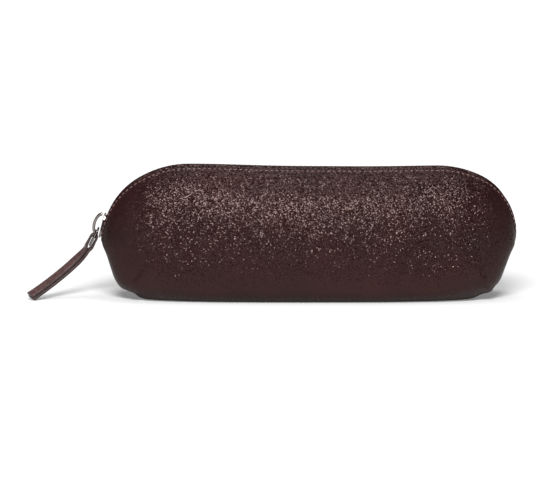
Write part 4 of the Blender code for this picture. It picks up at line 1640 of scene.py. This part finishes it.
@dataclass
class Pull:
    """The leather pull: one strip folded round the link's lower bar."""

    hardware: Hardware
    wardrobe: Wardrobe
    width: float = 6.6 * MM
    layer: float = 1.3 * MM
    corner: float = 0.32 * MM
    seam: float = 0.4 * MM
    eye: float = 0.9 * MM
    head: float = 3.7 * MM
    closing: float = 3.0 * MM
    forward: float = 13.5 * MM
    reach: float = 29.4 * MM
    tip: float = 1.9 * MM
    handle: float = 8.8 * MM
    turning: float = 16.0 * MM
    twist: float = math.radians(-21)
    leave: float = math.radians(62)
    arrive: float = math.radians(30)
    points: int = 90
    head_points: int = 12
    cap_points: int = 22

    def line(self) -> np.ndarray:
        """Draw the pull's middle line, from the head of its loop down to its tip.

        Returns:
            The line's points.
        """
        start = self.hardware.bar() + self.hardware.hang() * self.hardware.link_length
        leave = np.array([-math.cos(self.leave), 0, -math.sin(self.leave)])
        end = np.array([start[0] - self.reach, start[1] - self.forward, self.tip])
        arrive = np.array([-math.cos(self.arrive), -self.forward / self.reach,
                           -math.sin(self.arrive)])
        a, b = start + leave * self.handle, end - arrive * self.handle
        t = np.linspace(0, 1, self.points)[:, None]
        bend = (1 - t) ** 3 * start + 3 * t * (1 - t) ** 2 * a + 3 * t * t * (1 - t) * b + t ** 3 * end
        top = start - leave * self.head
        straight = top + (start - top) * np.linspace(0, 1, self.head_points)[:-1, None]
        return np.concatenate([straight, bend])

    def build(self) -> None:
        """Fold the strip: up the back layer, round the bar and down the front layer."""
        line = self.line()
        down = travelled(line)
        slope = unit(np.gradient(line, down, axis=0))
        side = unit(np.array([0.0, 1.0, 0.0]) - slope * slope[:, 1:2])
        normal = np.cross(slope, side)
        twist = (self.twist * ease(ramp(down, 0, self.turning)))[:, None]
        wide = side * np.cos(twist) + normal * np.sin(twist)
        up = normal * np.cos(twist) - side * np.sin(twist)
        eye, flat = self.eye + self.layer / 2, (self.seam + self.layer) / 2
        below = self.head + self.eye
        closed = ease(ramp(down, below, below + self.closing))
        apart = (eye + (flat - eye) * closed)[:, None]
        turns = np.linspace(-math.pi / 2, math.pi / 2, self.cap_points)[1:-1, None]
        cap = line[0] - slope[0] * eye * np.cos(turns) + up[0] * eye * np.sin(turns)
        path = np.concatenate([(line - up * apart)[::-1], cap, line + up * apart])
        across = np.concatenate([wide[::-1], np.tile(wide[0], (len(turns), 1)), wide])
        out = unit(np.cross(unit(np.gradient(path, axis=0)), across))
        pull = strip("leather_pull", path, across, out, (self.width / 2, self.layer / 2),
                     self.corner)
        self.wardrobe.dress(pull, "pull_leather", PULL_LEATHER, EDGE_PAINT)
        fixed(pull, "pull", "pull_strap")


# Studio


@dataclass(frozen=True)
class SoftBox:
    """One rectangular lamp: where it hangs, what it faces, its size and its watts."""

    name: str
    place: tuple[float, float, float]
    aim: tuple[float, float, float]
    size: tuple[float, float]
    power: float

    def hang(self) -> None:
        """Put the lamp into the scene."""
        data = bpy.data.lights.new(self.name, "AREA")
        data.shape, data.energy = "RECTANGLE", self.power
        data.size, data.size_y = self.size
        made = placed(self.name, data)
        made.location = self.place
        way = Vector(self.aim) - Vector(self.place)
        made.rotation_euler = way.to_track_quat("-Z", "Y").to_euler()


@dataclass
class Studio:
    """A pale floor, soft lamps and the camera at the photo's angle."""

    photo_px: tuple[int, int] = (540, 480)
    px_per_mm: float = 1.962
    centre_px: tuple[float, float] = (307.8, 301.3)
    elevation: float = math.radians(8.5)
    distance: float = 1.3
    front_foot: float = 19.0 * MM
    floor_half: float = 20.0
    paper: str = "dadada"
    pool_front: float = 0.35
    pool_radius: float = 0.70
    pool_white: float = 1.00
    room_light: float = 0.10
    lamps: tuple[SoftBox, ...] = (
        SoftBox("key_softbox", (-0.06, -0.84, 0.78), (0, 0, 0.03), (0.50, 0.40), 16.5),
        SoftBox("top_softbox", (0.05, 0.10, 1.10), (0, 0, 0.0), (0.9, 0.5), 5.0))

    def build_floor(self) -> None:
        """Lay a pale floor that keeps the case's shadow and shows white round it.

        The white is a pool of the floor's own light that only the camera and
        reflections see, and that fades with distance.
        """
        h = self.floor_half
        corners = np.array([(-h, -h, 0), (h, -h, 0), (h, h, 0), (-h, h, 0)])
        floor = mesh_object("studio_floor", corners, [(0, 1, 2, 3)])
        made, tree, place = new_material("pale_studio_floor")
        paper = add(tree, "ShaderNodeBsdfDiffuse", {"Color": linear(self.paper)})
        seen = add(tree, "ShaderNodeLightPath").outputs
        direct = add(tree, "ShaderNodeMath", {0: seen["Is Camera Ray"], 1: seen["Is Glossy Ray"]},
                     operation="MAXIMUM")
        any_of = add(tree, "ShaderNodeMath", {0: direct.outputs[0],
                     1: seen["Is Transmission Ray"]}, operation="MAXIMUM")
        away = add(tree, "ShaderNodeVectorMath", {0: place, 1: (0.0, -self.pool_front, 0.0)},
                   operation="DISTANCE")
        grows = add(tree, "ShaderNodeMath", {0: away.outputs["Value"], 1: 1 / self.pool_radius},
                    operation="MULTIPLY")
        square = add(tree, "ShaderNodeMath", {0: grows.outputs[0], 1: grows.outputs[0], 2: 1.0},
                     operation="MULTIPLY_ADD")
        lit = add(tree, "ShaderNodeMath", {0: self.pool_white, 1: square.outputs[0]},
                  operation="DIVIDE")
        even = add(tree, "ShaderNodeMath", {0: self.pool_white, 1: lit.outputs[0]},
                   operation="SUBTRACT")
        white = add(tree, "ShaderNodeMath", {0: any_of.outputs[0], 1: even.outputs[0]},
                    operation="MULTIPLY")
        lift = add(tree, "ShaderNodeEmission", {"Strength": white.outputs[0]})
        both = add(tree, "ShaderNodeAddShader", {0: paper.outputs[0], 1: lift.outputs[0]})
        tree.nodes.remove(tree.nodes["Principled BSDF"])
        feed(tree, tree.nodes["Material Output"], {"Surface": both.outputs[0]})
        floor.data.materials.append(made)

    def build_world(self) -> None:
        """Fill the room with a soft even light."""
        world = bpy.data.worlds.new("studio_room")
        bpy.context.scene.world = world
        world.use_nodes = True
        feed(world.node_tree, world.node_tree.nodes["Background"],
             {"Color": linear("ffffff"), "Strength": self.room_light})

    def build_camera(self) -> None:
        """Set the camera so that the photo's pixels match the case's millimetres."""
        wide, high = self.photo_px
        data = bpy.data.cameras.new("camera")
        data.sensor_width = 36.0
        data.lens = data.sensor_width * self.distance / (wide / self.px_per_mm * MM)
        data.clip_start, data.clip_end = 0.01, 50
        made = placed("camera", data)
        e = self.elevation
        x = (wide / 2 - self.centre_px[0]) / self.px_per_mm * MM
        rise = (self.centre_px[1] - high / 2) / self.px_per_mm * MM
        aim = Vector((x, 0, (rise - self.front_foot * math.sin(e)) / math.cos(e)))
        made.location = aim + Vector((0, -math.cos(e), math.sin(e))) * self.distance
        made.rotation_euler = (aim - made.location).to_track_quat("-Z", "Y").to_euler()
        bpy.context.scene.camera = made

    def build(self) -> None:
        """Set up the floor, the light and the camera."""
        bpy.context.scene.view_settings.view_transform = "Standard"
        self.build_floor()
        self.build_world()
        for lamp in self.lamps:
            lamp.hang()
        self.build_camera()


def main() -> None:
    """Build every piece of the case and the studio round it."""
    logging.basicConfig(level=logging.INFO, format="%(message)s")
    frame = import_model()
    line = ZipLine(CaseForm())
    wardrobe = Wardrobe()
    skins = Skins(line, wardrobe)
    skins.build()
    Zip(line, wardrobe, skins).build()
    hardware = Hardware(line.form, wardrobe, frame)
    hardware.build()
    Pull(hardware, wardrobe).build()
    Studio().build()


if __name__ == "__main__":
    main()
